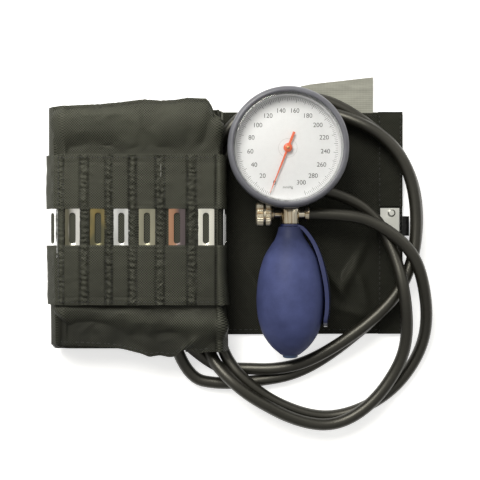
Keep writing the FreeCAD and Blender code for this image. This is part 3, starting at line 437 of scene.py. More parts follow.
def bulb_rubber(colour):
    """Matt blue rubber with bloom and a fine pebble, and painted shade that makes it darker towards
    its neck.
    """
    finish = Finish("bulb rubber", colour, 0.55, Specular_IOR_Level=0.16)
    bloom = finish.cloud(70.0, 5.0, 0.6)
    # painted shade: darker towards the neck, next to the valve
    neck = ((finish.axes()[1] + 0.026) * 70.0).clamped()
    finish.tint(bloom - neck * 0.5, (0.0, 0.45), (0.72, finish.share(1.2, 0.003)))
    finish.rough(bloom, 0.46, 0.62)
    finish.bump(finish.cloud(1300.0, 2.0), 0.00007, 0.8)
    return finish.material


def printed(name, colour, roughness=0.5):
    """Enamel or ink on a dial."""
    finish = Finish(name, colour, roughness)
    film = finish.cloud(400.0)
    finish.tint(film, (0.0, 0.96), (1.0, 1.03))
    finish.rough(film, roughness * 0.85, roughness * 1.15)
    return finish.material


def clear_lens():
    """Clear acrylic: only its gloss is seen, stronger towards the rim."""
    finish = Finish("clear acrylic", WHITE, 0.04, 1.0)
    gloss = finish.add("LayerWeight", output="Facing").power(5.0) * 0.96 + 0.04
    finish.rough(finish.cloud(30.0), 0.02, 0.05)
    finish.feed(finish.shader, {"Alpha": (gloss * 0.9).clamped()})
    return finish.material


# ---------------------------------------------------------------- modelling
def deselect():
    bpy.ops.object.select_all(action="DESELECT")


def activate(piece):
    deselect()
    piece.select_set(True)
    bpy.context.view_layer.objects.active = piece


def edit(mode, action="SELECT"):
    """Goes to edit mode, by vertex, edge or face, and selects all or nothing."""
    bpy.ops.object.mode_set(mode="EDIT")
    bpy.ops.mesh.select_mode(type=mode)
    bpy.ops.mesh.select_all(action=action)


def leave():
    bpy.ops.object.mode_set(mode="OBJECT")


def close_up(reach):
    """Merges the doubles within reach, turns the faces outwards and leaves edit mode."""
    bpy.ops.mesh.select_all(action="SELECT")
    bpy.ops.mesh.remove_doubles(threshold=reach)
    bpy.ops.mesh.normals_make_consistent(inside=False)
    leave()


def settle(piece, name=None):
    """Puts the piece's place into its mesh, and names it."""
    if name:
        piece.name = piece.data.name = name
    activate(piece)
    bpy.ops.object.transform_apply(location=True, rotation=True, scale=True)
    return piece


def link(name, data):
    """A new object in the scene."""
    piece = bpy.data.objects.new(name, data)
    bpy.context.scene.collection.objects.link(piece)
    return piece


def modify(piece, kind, **options):
    """Adds a modifier with these options and applies it."""
    activate(piece)
    modifier = piece.modifiers.new(kind.lower(), kind)
    for option, value in options.items():
        setattr(modifier, option, value)
    bpy.ops.object.modifier_apply(modifier=modifier.name)


def smooth(piece, angle):
    activate(piece)
    bpy.ops.object.shade_smooth_by_angle(angle=math.radians(angle))


def select(piece, mode, chosen):
    """Selects the vertices or faces whose centre passes a test, and stays in edit mode."""
    activate(piece)
    edit(mode, "DESELECT")
    leave()
    for part in piece.data.vertices if mode == "VERT" else piece.data.polygons:
        part.select = chosen(*(part.co if mode == "VERT" else part.center))
    bpy.ops.object.mode_set(mode="EDIT")


def turned(name, outline, centre, axis=(0, 0, 1), segments=96):
    """Turns an outline of (radius, height) points, in millimetres, about an axis through a centre.
    Both ends are closed, unless the outline comes back to its first point, which makes a ring."""
    ring = outline[0] == outline[-1]
    radius, height = mm(*outline[0])
    deselect()
    bpy.ops.mesh.primitive_circle_add(vertices=segments, radius=radius, location=(0, 0, height),
                                      fill_type="NOTHING" if ring else "NGON")
    piece = settle(bpy.context.object, name)
    edit("EDGE" if ring else "FACE")
    for point in outline[1:]:
        next_radius, next_height = mm(*point)
        climb = {"value": (0, 0, next_height - height)}
        if ring:
            bpy.ops.mesh.extrude_edges_move(TRANSFORM_OT_translate=climb)
        else:
            bpy.ops.mesh.extrude_region_move(TRANSFORM_OT_translate=climb)
        grow = next_radius / radius
        bpy.ops.transform.resize(value=(grow, grow, 1), center_override=(0, 0, next_height))
        radius, height = next_radius, next_height
    close_up(0.002 * MM)
    piece.rotation_mode = "QUATERNION"
    piece.rotation_quaternion = Vector(axis).to_track_quat("Z", "Y")
    piece.location = centre
    return settle(piece)


def lathe(name, outline, centre, material, *nodes, angle=40, axis=(0, 0, 1), segments=96, **place):
    """A turned piece, shaded smooth up to an angle and put on."""
    piece = turned(name, outline, centre, axis, segments)
    if angle:
        smooth(piece, angle)
    return put_on(piece, material, *nodes, **place)


def arc(start, end, bulge, steps):
    """Points of an arc in (radius, height) from start to end, with this bulge in its middle."""
    (r0, h0), (r1, h1) = start, end
    chord = math.hypot(r1 - r0, h1 - h0)
    out = ((h1 - h0) / chord, (r0 - r1) / chord)
    points = []
    for step in range(steps + 1):
        t = step / steps
        rise = bulge * (1 - (2 * t - 1) ** 2)
        points.append((r0 + (r1 - r0) * t + out[0] * rise, h0 + (h1 - h0) * t + out[1] * rise))
    return points


def through(points, steps=4):
    """A smooth outline through these points."""
    ends = [points[0]] + list(points) + [points[-1]]
    line = []
    for a, b, c, d in zip(ends, ends[1:], ends[2:], ends[3:]):
        for step in range(steps):
            t = step / steps
            line.append(tuple(
                0.5 * (2 * q + (r - p) * t + (2 * p - 5 * q + 4 * r - s) * t ** 2
                       + (3 * q - p - 3 * r + s) * t ** 3) for p, q, r, s in zip(a, b, c, d)))
    return line + [tuple(points[-1])]


def stamped(name, outlines, thickness, edge, place=(0, 0, 0), turn=(0, 0, 0)):
    """A stamped plate with rounded edges, in millimetres. The first outline is its rim and the
    others are holes; its middle plane is at the place, in metres."""
    sheet = bpy.data.curves.new(name, "CURVE")
    sheet.dimensions = "2D"
    sheet.fill_mode = "BOTH"
    for outline in outlines:
        spline = sheet.splines.new("POLY")
        spline.points.add(len(outline) - 1)
        for point, (x, y) in zip(spline.points, outline):
            point.co = (x * MM, y * MM, 0, 1)
        spline.use_cyclic_u = True
    sheet.extrude = (thickness / 2 - edge) * MM
    sheet.bevel_depth = edge * MM
    sheet.bevel_resolution = 1
    sheet.offset = -edge * MM
    activate(link(name, sheet))
    bpy.ops.object.convert(target="MESH")
    piece = bpy.context.object
    edit("VERT")
    close_up(0.01 * MM)
    piece.location, piece.rotation_euler = place, turn
    settle(piece)
    smooth(piece, 40)
    return piece


def slot_outline(width, height, corner, steps=6):
    """A rectangle with round corners about the origin."""
    points = []
    for quarter, (sx, sy) in enumerate(((1, 1), (-1, 1), (-1, -1), (1, -1))):
        x, y = sx * (width / 2 - corner), sy * (height / 2 - corner)
        for step in range(steps + 1):
            angle = math.pi / 2 * (quarter + step / steps)
            points.append((x + corner * math.cos(angle), y + corner * math.sin(angle)))
    return points


def lettered(name, text, height, place):
    """Flat letters of a given height, centred on a place."""
    deselect()
    bpy.ops.object.text_add(location=(0, 0, 0))
    letters = bpy.context.object.data
    letters.body = text
    letters.size = height * 1.42
    letters.align_x, letters.align_y = "CENTER", "CENTER"
    letters.extrude = 0.03 * MM
    bpy.ops.object.convert(target="MESH")
    piece = bpy.context.object
    piece.location = place
    return settle(piece, name)


def take_out(piece, inside):
    """Takes out the faces whose centre, in millimetres, passes a test."""
    select(piece, "FACE", lambda *centre: inside(*(c / MM for c in centre)))
    bpy.ops.mesh.delete(type="FACE")
    leave()


def join(name, pieces):
    deselect()
    for piece in pieces:
        piece.select_set(True)
    bpy.context.view_layer.objects.active = pieces[0]
    bpy.ops.object.join()
    joined = bpy.context.object
    joined.name = joined.data.name = name
    return joined


def copies(name, one, places):
    """One piece out of many copies of a small one, which is taken away."""
    many = bmesh.new()
    for place in places:
        count = len(many.verts)
        many.from_mesh(one.data)
        many.verts.ensure_lookup_table()
        bmesh.ops.transform(many, matrix=place, verts=many.verts[count:])
    mesh = bpy.data.meshes.new(name)
    many.to_mesh(mesh)
    many.free()
    bpy.data.objects.remove(one, do_unlink=True)
    return link(name, mesh)


def put_on(piece, material, *nodes, slot=None, body=ROOT):
    """Gives a finished piece its material, its body and the CAD nodes that it stands for."""
    piece.data.materials.clear()
    piece.data.materials.append(material)
    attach(piece, body)
    if nodes:
        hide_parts(*nodes)
    return piece


# ---------------------------------------------------------------- cloth
def run(start, end, spacing):
    """Points from start up to, but without, end."""
    count = max(1, round((end - start).length / spacing))
    return [start.lerp(end, n / count) for n in range(count)]


def folded(corners, radii, spacings):
    """Points, normals and lengths along a folded line in XZ, in millimetres: runs joined by round
    folds. Each run has its own distance between points. What it gives back is in metres."""
    corners, radii = [Vector(mm(*corner)) for corner in corners], mm(*radii)
    places, here = [], corners[0]
    for tip, nearby, radius, spacing, other in zip(corners[1:-1], corners[2:], radii, spacings,
                                                   spacings[1:]):
        a, b = (here - tip).normalized(), (nearby - tip).normalized()
        half = a.angle(b) / 2
        reach = radius / math.tan(half)
        middle = tip + (a + b).normalized() * (radius / math.sin(half))
        begin, finish = tip + a * reach, tip + b * reach
        places += run(here, begin, spacing)
        start = begin - middle
        turn = start.angle_signed(finish - middle)
        steps = max(6, round(radius * abs(turn) / min(spacing, other)))
        for step in range(steps):
            angle = -turn * step / steps
            places.append(middle + Vector((start.x * math.cos(angle) - start.y * math.sin(angle),
                                           start.x * math.sin(angle) + start.y * math.cos(angle))))
        here = finish
    places += run(here, corners[-1], spacings[-1]) + [corners[-1]]
    line, length = [], 0.0
    for before, place, after in zip([places[0]] + places, places, places[1:] + [places[-1]]):
        length += (place - before).length
        along = (after - before).normalized()
        line.append((place, Vector((along.y, -along.x)), length))
    return line


def beside(outline, distances):
    """The line beside a folded one in XZ, each side at its own distance inside the roll."""
    sides = []
    for a, b, distance in zip(outline, outline[1:], distances):
        start, along = Vector(a), (Vector(b) - Vector(a)).normalized()
        sides.append((start + Vector((along.y, -along.x)) * distance, along))
    points = [sides[0][0]]
    for (p, u), (q, v) in zip(sides, sides[1:]):
        gap = q - p
        points.append(p + u * ((gap.x * v.y - gap.y * v.x) / (u.x * v.y - u.y * v.x)))
    reach = (Vector(outline[-1]) - Vector(outline[-2])).length
    points.append(sides[-1][0] + sides[-1][1] * reach)
    return [tuple(point) for point in points]


class Cloth:
    """A sheet as a grid of points: its rows follow a folded line in XZ and its columns lie in Y."""

    def __init__(self, name, line, limits, spacing, sink=None):
        """limits gives the two edges in Y at a place in XZ, in metres. sink gives how far, in
        millimetres, a point lies below the line, from its x, z and y in millimetres."""
        widest = max(high - low for low, high in (limits(row[0]) for row in line))
        columns = round(widest / spacing) + 1
        mesh = bpy.data.meshes.new(name)
        points, self.plan, heights = [], [], []
        for place, normal, length in line:
            low, high = limits(place)
            for column in range(columns):
                y = low + (high - low) * column / (columns - 1)
                depth = sink(place.x / MM, place.y / MM, y / MM) if sink else 0.0
                spot = place + normal * (depth * MM)
                points.append(Vector((spot.x, y, spot.y)))
                self.plan.append((length, y))
                heights.append(min(-depth, 0.4) if sink else 0.0)
        corners = [row * columns + column for row in range(len(line) - 1)
                   for column in range(columns - 1)]
        mesh.from_pydata(points, [], [(n, n + 1, n + columns + 1, n + columns) for n in corners])
        flat = mesh.uv_layers.new(name="flat")
        for corner in mesh.loops:
            flat.data[corner.index].uv = self.plan[corner.vertex_index]
        mesh.attributes.new("height", "FLOAT", "POINT").data.foreach_set("value", heights)
        mesh.polygons.foreach_set("use_smooth", [True] * len(corners))
        self.piece = link(name, mesh)
        self.flat_size = (widest, line[-1][2])

    def relax(self, held, looseness, cap, frames=20):
        """Lets the cloth, a little longer than its place, find its own wrinkles. A point is held
        fast where held gives 1, and no point moves further than the cap."""
        piece = self.piece
        before = [v.co.copy() for v in piece.data.vertices]
        grip = piece.vertex_groups.new(name="held")
        for vertex in piece.data.vertices:
            grip.add([vertex.index], held(*self.plan[vertex.index]), "REPLACE")
        modifier = piece.modifiers.new("cloth", "CLOTH")
        settings = modifier.settings
        settings.quality = 5
        settings.mass = 0.02
        settings.tension_stiffness = settings.compression_stiffness = 12.0
        settings.shear_stiffness = 6.0
        settings.bending_stiffness = 0.02
        settings.air_damping = 4.0
        settings.vertex_group_mass = "held"
        settings.shrink_min = -looseness
        settings.effector_weights.gravity = 0.0
        modifier.collision_settings.use_collision = False
        modifier.point_cache.frame_start, modifier.point_cache.frame_end = 1, frames
        for number in range(1, frames + 1):
            bpy.context.scene.frame_set(number)
        activate(piece)
        bpy.ops.object.modifier_apply(modifier=modifier.name)
        bpy.context.scene.frame_set(1)
        for vertex, start in zip(piece.data.vertices, before):
            move = vertex.co - start
            if move.length > cap:
                vertex.co = start + move * (cap / move.length)
        piece.vertex_groups.clear()

    def sew(self, material, *nodes, thickness, slot, held, rests_on, share=None, angle=50):
        """Gives the cloth its thickness and material. Where windows are cut out of it, share is how
        much of its rectangle is left."""
        modify(self.piece, "SOLIDIFY", thickness=thickness, offset=0.0)
        smooth(self.piece, angle)
        put_on(self.piece, material, *nodes, slot=slot)
        area = {"area": self.flat_size[0] * self.flat_size[1] * share} if share else {}


def stitched(name, colour, lines, length=2.2, gap=0.9):
    """A row of stitches along each line of points, with its lengths in millimetres. One stitch is
    modelled and copied."""
    deselect()
    bpy.ops.mesh.primitive_ico_sphere_add(subdivisions=1, radius=1.0, location=(0, 0, 0))
    one = bpy.context.object
    one.scale = mm(length / 2, 0.32, 0.22)
    settle(one)
    places = []
    for line in lines:
        travelled, target = 0.0, length / 2 * MM
        for a, b in zip(line, line[1:]):
            step = (b - a).length
            while target <= travelled + step and step > 0:
                turn = (b - a).normalized().to_track_quat("X", "Z").to_matrix().to_4x4()
                turn.translation = a.lerp(b, (target - travelled) / step)
                places.append(turn)
                target += (length + gap) * MM
            travelled += step
    piece = copies(name, one, places)
    piece.data.polygons.foreach_set("use_smooth", [True] * len(piece.data.polygons))
    put_on(piece, sewing_thread(colour))


def level(table, x):
    """The value of a table of (x, value) pairs at x, straight between them."""
    if x <= table[0][0]:
        return table[0][1]
    for (x0, v0), (x1, v1) in zip(table, table[1:]):
        if x <= x1:
            return v0 + (v1 - v0) * (x - x0) / (x1 - x0)
    return table[-1][1]


def ease(x, low, high):
    """0 below low, 1 above high and smooth between."""
    t = min(max((x - low) / (high - low), 0.0), 1.0)
    return t * t * (3 - 2 * t)


def hill(x, centre, width):
    """1 at the centre, falling smoothly to nothing over its width."""
    return math.exp(-((x - centre) / width) ** 2)


def wave(x, y, z):
    """Smooth noise from about -1 to 1."""
    return noise.noise(Vector((x, y, z)))


# all the shapes of the cloth below take and give millimetres
def side_swell(x, z, y):
    """How far the roll's two side folds swell outwards."""
    left = ease(-x, 93, 100) * ease(z, 0.5, 5) * (2.6 - 1.3 * ease(-y, -10, 78))
    right = ease(x, -9, -6) * ease(z, 11, 15) * (1.0 + 3.2 * ease(-y, 30, 76))
    return left + right


def cover_swell(x, z, y):
    """How far the roll sinks below or, where negative, rises above its folded line."""
    sides = side_swell(x, z, y)
    if z < ROLL_UNDER_TOP:
        return -sides
    far, near = level(ROLL_FAR, x), level(ROLL_NEAR, x)
    left, right = ease(-x, 45, 70), ease(x, -70, -45)
    # the puff of air above the band, and its far hem
    swell = (1.9 + 0.4 * right) * hill(y, 53, 9)
    swell -= (2.8 * left + 1.6 * right) * ease(-y, -48, -35) * (1 + 0.2 * math.sin(x / 7.0))
    swell -= 2.0 * ease(y, far - 7, far + 1) + 0.55 * hill(y, far - 1.9, 0.75)
    swell -= 1.6 * hill(x - 0.35 * (y - 60), -9.5, 2.6) * ease(y, 36, 42)
    # the ridge below the band, and the near hem
    ridge = -55.5 - (x + 100) * 0.11
    swell += 2.5 * hill(y, ridge + 0.8, 5.5) * ease(-y, 50, 54)
    swell -= 1.1 * ease(-y, -ridge, -ridge + 20) * ease(-x, 8, 30)
    swell -= 1.0 * ease(-y, -near - 6, -near + 1)
    swell -= 0.5 * hill(y, near + 1.9, 0.75) * ease(-x, 30, 40)
    swell += 0.5 * hill(x, -48, 9) * ease(-y, 62, 72)
    # the fold that runs up from the near corner, and the dips beside it
    aside, along = (y + 81.2) * 0.785 - (x + 32.7) * 0.62, (x + 32.7) * 0.785 + (y + 81.2) * 0.62
    swell += 2.0 * hill(aside, 0, 1.7) * ease(along, -1, 4) * ease(-along, -20, -13)
    swell -= 1.2 * ease(aside, -0.5, 7) * hill(along, 7, 9)
    swell += 0.8 * ease(x, -26, -20) * ease(-y, 50, 62) - 2.8 * ease(x, -22, -5) * ease(-y, 56, 80)
    # the crease at the near left corner
    swell -= 0.8 * hill(x + 0.6 * (y + 66), -98, 4.0) * ease(-y, 52, 57)
    swell += 1.3 * hill(x + 0.9 * (y + 55), -99, 2.2) * ease(-y, 52, 56) * ease(y, -66, -58)
    swell += 0.45 * wave(x / 40, y / 22, 2.3) + 0.1 * wave(x / 11, y / 8, 7)
    swell = max(swell, -2.3 + 0.2 * wave(x / 9, y / 9, 1))
    bare = max(ease(y, 31.5, 34), ease(-y, 51, 53))
    return -(swell * bare + sides)


def flap_swell(x, z, y):
    """Wrinkles of the lining, which only rise, beside the bulb and towards the end band."""
    if z > ROLL_UNDER_TOP:
        return min(cover_swell(x, z, y), 1.9)
    if z > FLAP_BELOW or x < -4:
        return -side_swell(x, z, y) if 3 < z < 19 and x < -90 else 0.0
    rise = 1.9 * hill(x + 0.65 * y, 36, 3.0) * hill(y, -42, 15)
    rise += 2.4 * hill(x - 0.5 * (y + 40), 68, 3.2) * hill(y, -34, 16)
    rise += 1.5 * hill(x + 0.35 * (y + 45), 79, 2.6) * hill(y, -44, 12)
    rise += 1.4 * hill(y + 0.25 * x, -40, 2.6) * hill(x, 70, 12)
    rise += 1.2 * hill(x + 0.6 * y, -10, 2.5) * hill(y, -42, 16)
    loose = ease(x, 56, 62) * ease(40 - y, 0, 8)
    rise += 0.9 * loose * max(0.0, wave(x / 18, y / 11, 4.4) + 0.3)
    return rise * ease(x, -2, 8) * ease(85 - x, 0, 8) * ease(y, -66, -61)


def band_sink(x, z, y):
    """Depth below the band's line: rows of stitches pull it in and gather it between them."""
    out = side_swell(x, z + 3, y) * (0.75 if x < -50 else 1.0)
    if z < 22.5:
        return 0.35 * wave(z / 4, y / 5, 1.0) - out
    depth = 0.0
    for number, seam in enumerate(SEAM_X):
        wander = 0.25 * wave(number * 3.7, y / 11, 2.0)
        depth += (0.75 + 0.5 * wave(seam, y / 1.5, 8)) * hill(x, seam + wander, 0.7)
    for left, right in zip(SEAM_X[0::2], SEAM_X[1::2]):
        middle, half = (left + right) / 2, (right - left) / 2
        turn = 2 * math.pi * y / 3.4 + 6.0 * wave(middle, y / 8, 0)
        twist = math.sin(turn + (x - middle) * (0.5 + wave(middle, y / 12, 9)))
        knots = wave(x / 1.9 + middle, y / 1.7, 5.0)
        depth -= (0.32 * twist + 0.95 * knots) * hill(x, middle, half + 0.3)
        beyond = hill(x, left - 2.2, 1.7) + hill(x, right + 2.2, 1.7)
        depth += (0.10 * math.sin(turn * 0.5) + 0.30 * knots) * beyond
    depth *= 1 - 0.8 * hill(x, -99, 2.6) * hill(y, BAR_Y, 19)
    depth -= 0.22 * wave(x / 12, y / 5, 5.5)
    for edge in (WINDOW_Y[0] - 1.6, WINDOW_Y[1] + 1.6, BAND_Y[0] + 4.4, BAND_Y[1] - 4.4):
        depth += 0.18 * hill(y, edge, 0.6)
    sunk = ease(y, WINDOW_Y[0] - 0.4, WINDOW_Y[0] + 0.8) - ease(y, WINDOW_Y[1] - 0.8,
                                                               WINDOW_Y[1] + 0.4)
    return depth + 0.45 * sunk - out


def tab_sink(x, z, y):
    """The tab's seam and a slow wave along its free edge; never below the table."""
    slow = 0.25 * math.sin(x / 7) * ease(y, 64, 82)
    return (-abs(slow) - 0.3 * hill(y, 75.6, 0.8)) * (1 if y > 63 else 0)


def end_band_sink(x, z, y):
    """Soft ridges across the end band."""
    return -0.25 * (1 - min(1.0, abs(wave(x / 12 + 3, y / 6, 3)) * 2.2))


# ---------------------------------------------------------------- operators
class MONITOR_OT_hoses(bpy.types.Operator):
    """The two rubber hoses, coiled round the gauge"""
    bl_idname = "monitor.hoses"
    bl_label = "Hoses"

    def execute(self, context):
        sizes = context.scene.monitor_hoses
        rubber = hose_rubber(sizes.colour)
        plan = (("hose_to_bulb", BULB_ROUTE, "hose_bulb", sizes.bulb_length),
                ("hose_to_gauge", GAUGE_ROUTE, "hose_gauge", sizes.gauge_length))
        for name, route, node, length in plan:
            line = bpy.data.curves.new(name, "CURVE")
            line.dimensions = "3D"
            spline = line.splines.new("NURBS")
            spline.points.add(len(route) - 1)
            for point, place in zip(spline.points, route):
                point.co = place + (1.0,)
            spline.order_u = 3
            spline.use_endpoint_u = True
            spline.resolution_u = 8
            line.bevel_depth = sizes.diameter / 2
            line.bevel_resolution = 8
            line.use_fill_caps = True
            hose = put_on(link(name, line), rubber, node, slot="hose_rubber")
        return {"FINISHED"}


def cover_edges(place, inside=0.0):
    """The cover's two edges in Y at a place on its folded line, all in metres."""
    x, z = place.x / MM, place.y / MM
    # the roll's left fold, its top face and its right fold
    if x < -99.6 or (z > ROLL_UNDER_TOP and x < -6.9) or (x > -7.6 and z > 12.9):
        top = ease(z, 3.0, 20.0) if x < -60 else ease(z, 12.0, 22.0)
        below = (level(FLAP_NEAR, x), level(FLAP_FAR, x)) if x < -60 else INNER_EDGES
        near, far = (low + (high - low) * top for low, high in
                     zip(below, (level(ROLL_NEAR, x), level(ROLL_FAR, x))))
    elif z < FLAP_BELOW:
        near, far = level(FLAP_NEAR, x), level(FLAP_FAR, x)
    else:
        near, far = INNER_EDGES
    return mm(near + inside, far - inside)


def cover_hold(length, y):
    """1 under the pocket band and on the hidden layers, 0 where the cloth shows."""
    y = y / MM
    bare = max(ease(y, 34, 38), ease(-y, 53, 57))
    edge = max(ease(y, 59, 61), ease(-y, 74, 76))
    on_top = 1.0 if TOP_RUN[0] < length < TOP_RUN[1] else 0.0
    return 1.0 - bare * on_top * (1 - 0.7 * edge)


class MONITOR_OT_cover(bpy.types.Operator):
    """The cuff's outer cloth, rolled at the left and flat at the right"""
    bl_idname = "monitor.cover"
    bl_label = "Cover"

    def execute(self, context):
        sizes = context.scene.monitor_cuff
        fine, coarse = sizes.mesh * 0.5, sizes.mesh * 2
        line = folded(COVER_LINE, COVER_FOLDS,
                      [coarse, fine * 1.5, fine, fine * 1.5] + [coarse] * 6)
        cloth = Cloth("cuff_cloth", line, cover_edges, fine, cover_swell)
        cloth.relax(cover_hold, sizes.looseness, 0.4 * MM)
        cloth.sew(nylon("nylon cloth", sizes.nylon), "cuff_cover", thickness=sizes.ply,
                  slot="nylon", held="folded", rests_on="table")
        hems = []
        for side in (1, 0):
            hem = []
            for place, normal, length in line:
                if place.y > 21.0 * MM and -103 * MM < place.x < -13 * MM:
                    y = cover_edges(place, 1.9)[side]
                    depth = cover_swell(place.x / MM, place.y / MM, y / MM) * MM - sizes.ply * 0.55
                    hem.append(Vector((place.x + normal.x * depth, y, place.y + normal.y * depth)))
            hems.append(hem)
        stitched("hem_stitches", sizes.thread, hems)
        return {"FINISHED"}


class MONITOR_OT_lining(bpy.types.Operator):
    """The lining, which shows on the flap, and the bladder inside the roll"""
    bl_idname = "monitor.lining"
    bl_label = "Lining and bladder"

    def execute(self, context):
        sizes = context.scene.monitor_cuff
        ply, gap = sizes.ply / MM, (sizes.ply + sizes.bladder) / MM
        radii = [r - ply for r in COVER_FOLDS[:5]] + [COVER_FOLDS[5] + ply, 0.9,
                                                      COVER_FOLDS[7] - gap, COVER_FOLDS[8] - gap]
        line = folded(beside(COVER_LINE, [ply] * 7 + [gap] * 3), radii,
                      [sizes.mesh * 0.7] + [sizes.mesh * 2] * 9)
        cloth = Cloth("cuff_lining_cloth", line, lambda place: cover_edges(place, 0.6),
                      sizes.mesh * 0.6, flap_swell)
        dark = [c * 0.37 for c in sizes.nylon]
        # the lining's folds rise the other way, so a negative share gives them the same painted
        # highlight
        cloth.sew(nylon("nylon lining", dark, 3.8, 0.2, 0.5, -0.12), "cuff_lining",
                  thickness=sizes.ply * 0.96, slot="lining", held="folded", rests_on="cuff_cloth")
        core = folded(beside([(-22.8, 3.5)] + list(COVER_LINE[8:]), [gap / 2] * 3),
                      [COVER_FOLDS[7] - gap / 2] * 2, [sizes.mesh] * 3)
        bag = Cloth("bladder", core, lambda place: mm(-72, 54), sizes.mesh * 1.5).piece
        modify(bag, "SOLIDIFY", thickness=sizes.bladder * 0.96, offset=0.0)
        modify(bag, "BEVEL", width=2.6 * MM, segments=4, limit_method="ANGLE",
               angle_limit=math.radians(60))
        smooth(bag, 60)
        put_on(bag, hose_rubber((0.02, 0.02, 0.02)), "air_bladder", slot="hose_rubber")
        rows = [[Vector(mm(x, y, 2.53)) for x in range(-2, 103)]
                for y in (FLAP_FAR[-1][1] - 2.4, FLAP_NEAR[-1][1] + 2.4)]
        stitched("flap_stitches", sizes.thread, rows)
        return {"FINISHED"}


class MONITOR_OT_band(bpy.types.Operator):
    """The pocket band over the bars, its windows, and its double rows of puckered stitches"""
    bl_idname = "monitor.band"
    bl_label = "Pocket band"

    def execute(self, context):
        sizes = context.scene.monitor_cuff
        outline = beside(COVER_LINE[1:6], [-BAND_ABOVE_COVER] * 4)
        outline[0], outline[-1] = (outline[0][0], 7.0), (outline[-1][0], 12.0)
        spacing = sizes.mesh * 0.32
        line = folded(outline, [radius + BAND_ABOVE_COVER for radius in COVER_FOLDS[1:4]],
                      [spacing * 1.6, spacing, spacing, spacing * 1.6])
        cloth = Cloth("pocket_band", line, lambda place: mm(*BAND_Y), spacing, band_sink)
        take_out(cloth.piece, lambda x, y, z: WINDOW_Y[0] < y < WINDOW_Y[1] and any(
            low < x < high for low, high in WINDOW_X))
        # a stronger painted highlight on the band's raised puckers
        cloth.sew(nylon("band nylon", sizes.nylon, paling=0.24), "pocket_band_upper",
                  "pocket_band_lower", thickness=1.0 * MM, slot="nylon", held="folded",
                  rests_on="cuff_cloth", share=0.92, angle=60)
        rows = [[self.top(x, y) for y in range(int(BAND_Y[0]) + 1, int(BAND_Y[1]) + 1)]
                for x in SEAM_X]
        stitched("band_stitches", sizes.thread, rows, 1.9, 1.1)
        edges = [[self.top(x, y) for x in range(-97, -6)]
                 for y in (BAND_Y[0] + 1.6, BAND_Y[1] - 1.6)]
        stitched("band_edge_stitches", sizes.thread, edges)
        tail = [Vector(mm(-39.9, 28.0 - n * 0.9, 27.6 + 0.25 * math.sin(n))) for n in range(9)]
        stitched("loose_thread", (0.17, 0.17, 0.15), [tail], 1.2, -0.3)
        return {"FINISHED"}

    @staticmethod
    def top(x, y):
        """A point on the band's upper face."""
        return Vector(mm(x, y, 27.15 - band_sink(x, 27, y)))


class MONITOR_OT_bars(bpy.types.Operator):
    """Eight slotted steel bars under the pocket band"""
    bl_idname = "monitor.bars"
    bl_label = "Bars"

    def execute(self, context):
        bar = stamped("bar", (slot_outline(9.6, 34, 1.2), slot_outline(3.5, 17.6, 1.74)),
                      thickness=0.7, edge=0.14)
        places = [(-102.1, 22.5, -47)] + [(x, 25.5, 0) for x in BAR_X] + [(-3.7, 18.5, 84)]
        # The bars are alike: each one's colour and second colour are its plating with painted
        # reflections, and on bars 2 and 6 a painted reflection splits them at the middle.
        painted_reflections = (((0.95, 0.95, 0.95), (0.9, 0.9, 0.9)), ((0.92, 0.90, 0.84), (0.18, 0.17, 0.12)),
                 ((0.46, 0.34, 0.12), (0.16, 0.15, 0.09)), ((1.0, 1.0, 0.98), (0.72, 0.72, 0.68)),
                 ((0.42, 0.40, 0.29), (0.34, 0.33, 0.25)), ((0.16, 0.13, 0.13), (0.56, 0.31, 0.19)),
                 ((1.0, 0.98, 0.86), (0.95, 0.92, 0.80)), ((0.95, 0.95, 0.95), (0.9, 0.9, 0.9)))
        split_reflection_bars = (2, 6)
        for number, ((x, z, tilt), (colour, patina_and_reflection)) in enumerate(zip(places, painted_reflections), 1):
            twin = link("bar", bar.data.copy())
            twin.rotation_euler, twin.location = (0, math.radians(tilt), 0), mm(x, BAR_Y, z)
            settle(twin, "bar_%d" % number)
            metal = plated_steel("plated bar %d" % number, colour, patina_and_reflection,
                                 middle=x * MM if number in split_reflection_bars else None)
            put_on(twin, metal, "clasp_bar_%d" % number, slot="bar_steel")
        bpy.data.objects.remove(bar, do_unlink=True)
        return {"FINISHED"}


class MONITOR_OT_hook_end(bpy.types.Operator):
    """The flap's end band, which the hook sits on, and the grey tab"""
    bl_idname = "monitor.hook_end"
    bl_label = "End band and tab"

    def execute(self, context):
        sizes = context.scene.monitor_cuff
        line = folded([(102, 2.95), (87.4, 2.95)], [], [sizes.mesh * 0.5])
        band = Cloth("end_band_cloth", line, lambda place: mm(-71, 61.5), sizes.mesh * 0.5,
                     end_band_sink)
        take_out(band.piece, lambda x, y, z: x > 88.4 and -15.2 < y < 4.9)
        dark = [c * 0.35 for c in sizes.nylon]
        band.sew(nylon("end band nylon", dark, 1.0, 0.2, 0.6), "end_band", thickness=0.9 * MM,
                 slot="nylon", held="laid", rests_on="cuff_lining_cloth", share=0.87)
        rows = [[Vector(mm(x, y, 3.5)) for y in range(-70, 61) if x < 89 or not -17 < y < 6]
                for x in (88.3, 100.6)]
        stitched("end_band_stitches", sizes.thread, rows)
        line = folded([(41.5, 1.03), (84.6, 1.03)], [], [sizes.mesh * 0.6])
        far = ((41.5, 77), (47, 78.2), (84.6, 82.4))
        tab = Cloth("tab", line, lambda place: mm(58, level(far, place.x / MM)),
                    sizes.mesh * 0.6, tab_sink)
        tab.sew(woven_tape("grey tape", sizes.tape), "loop_tab", thickness=1.1 * MM,
                slot="webbing", held="laid", rests_on="table")
        return {"FINISHED"}


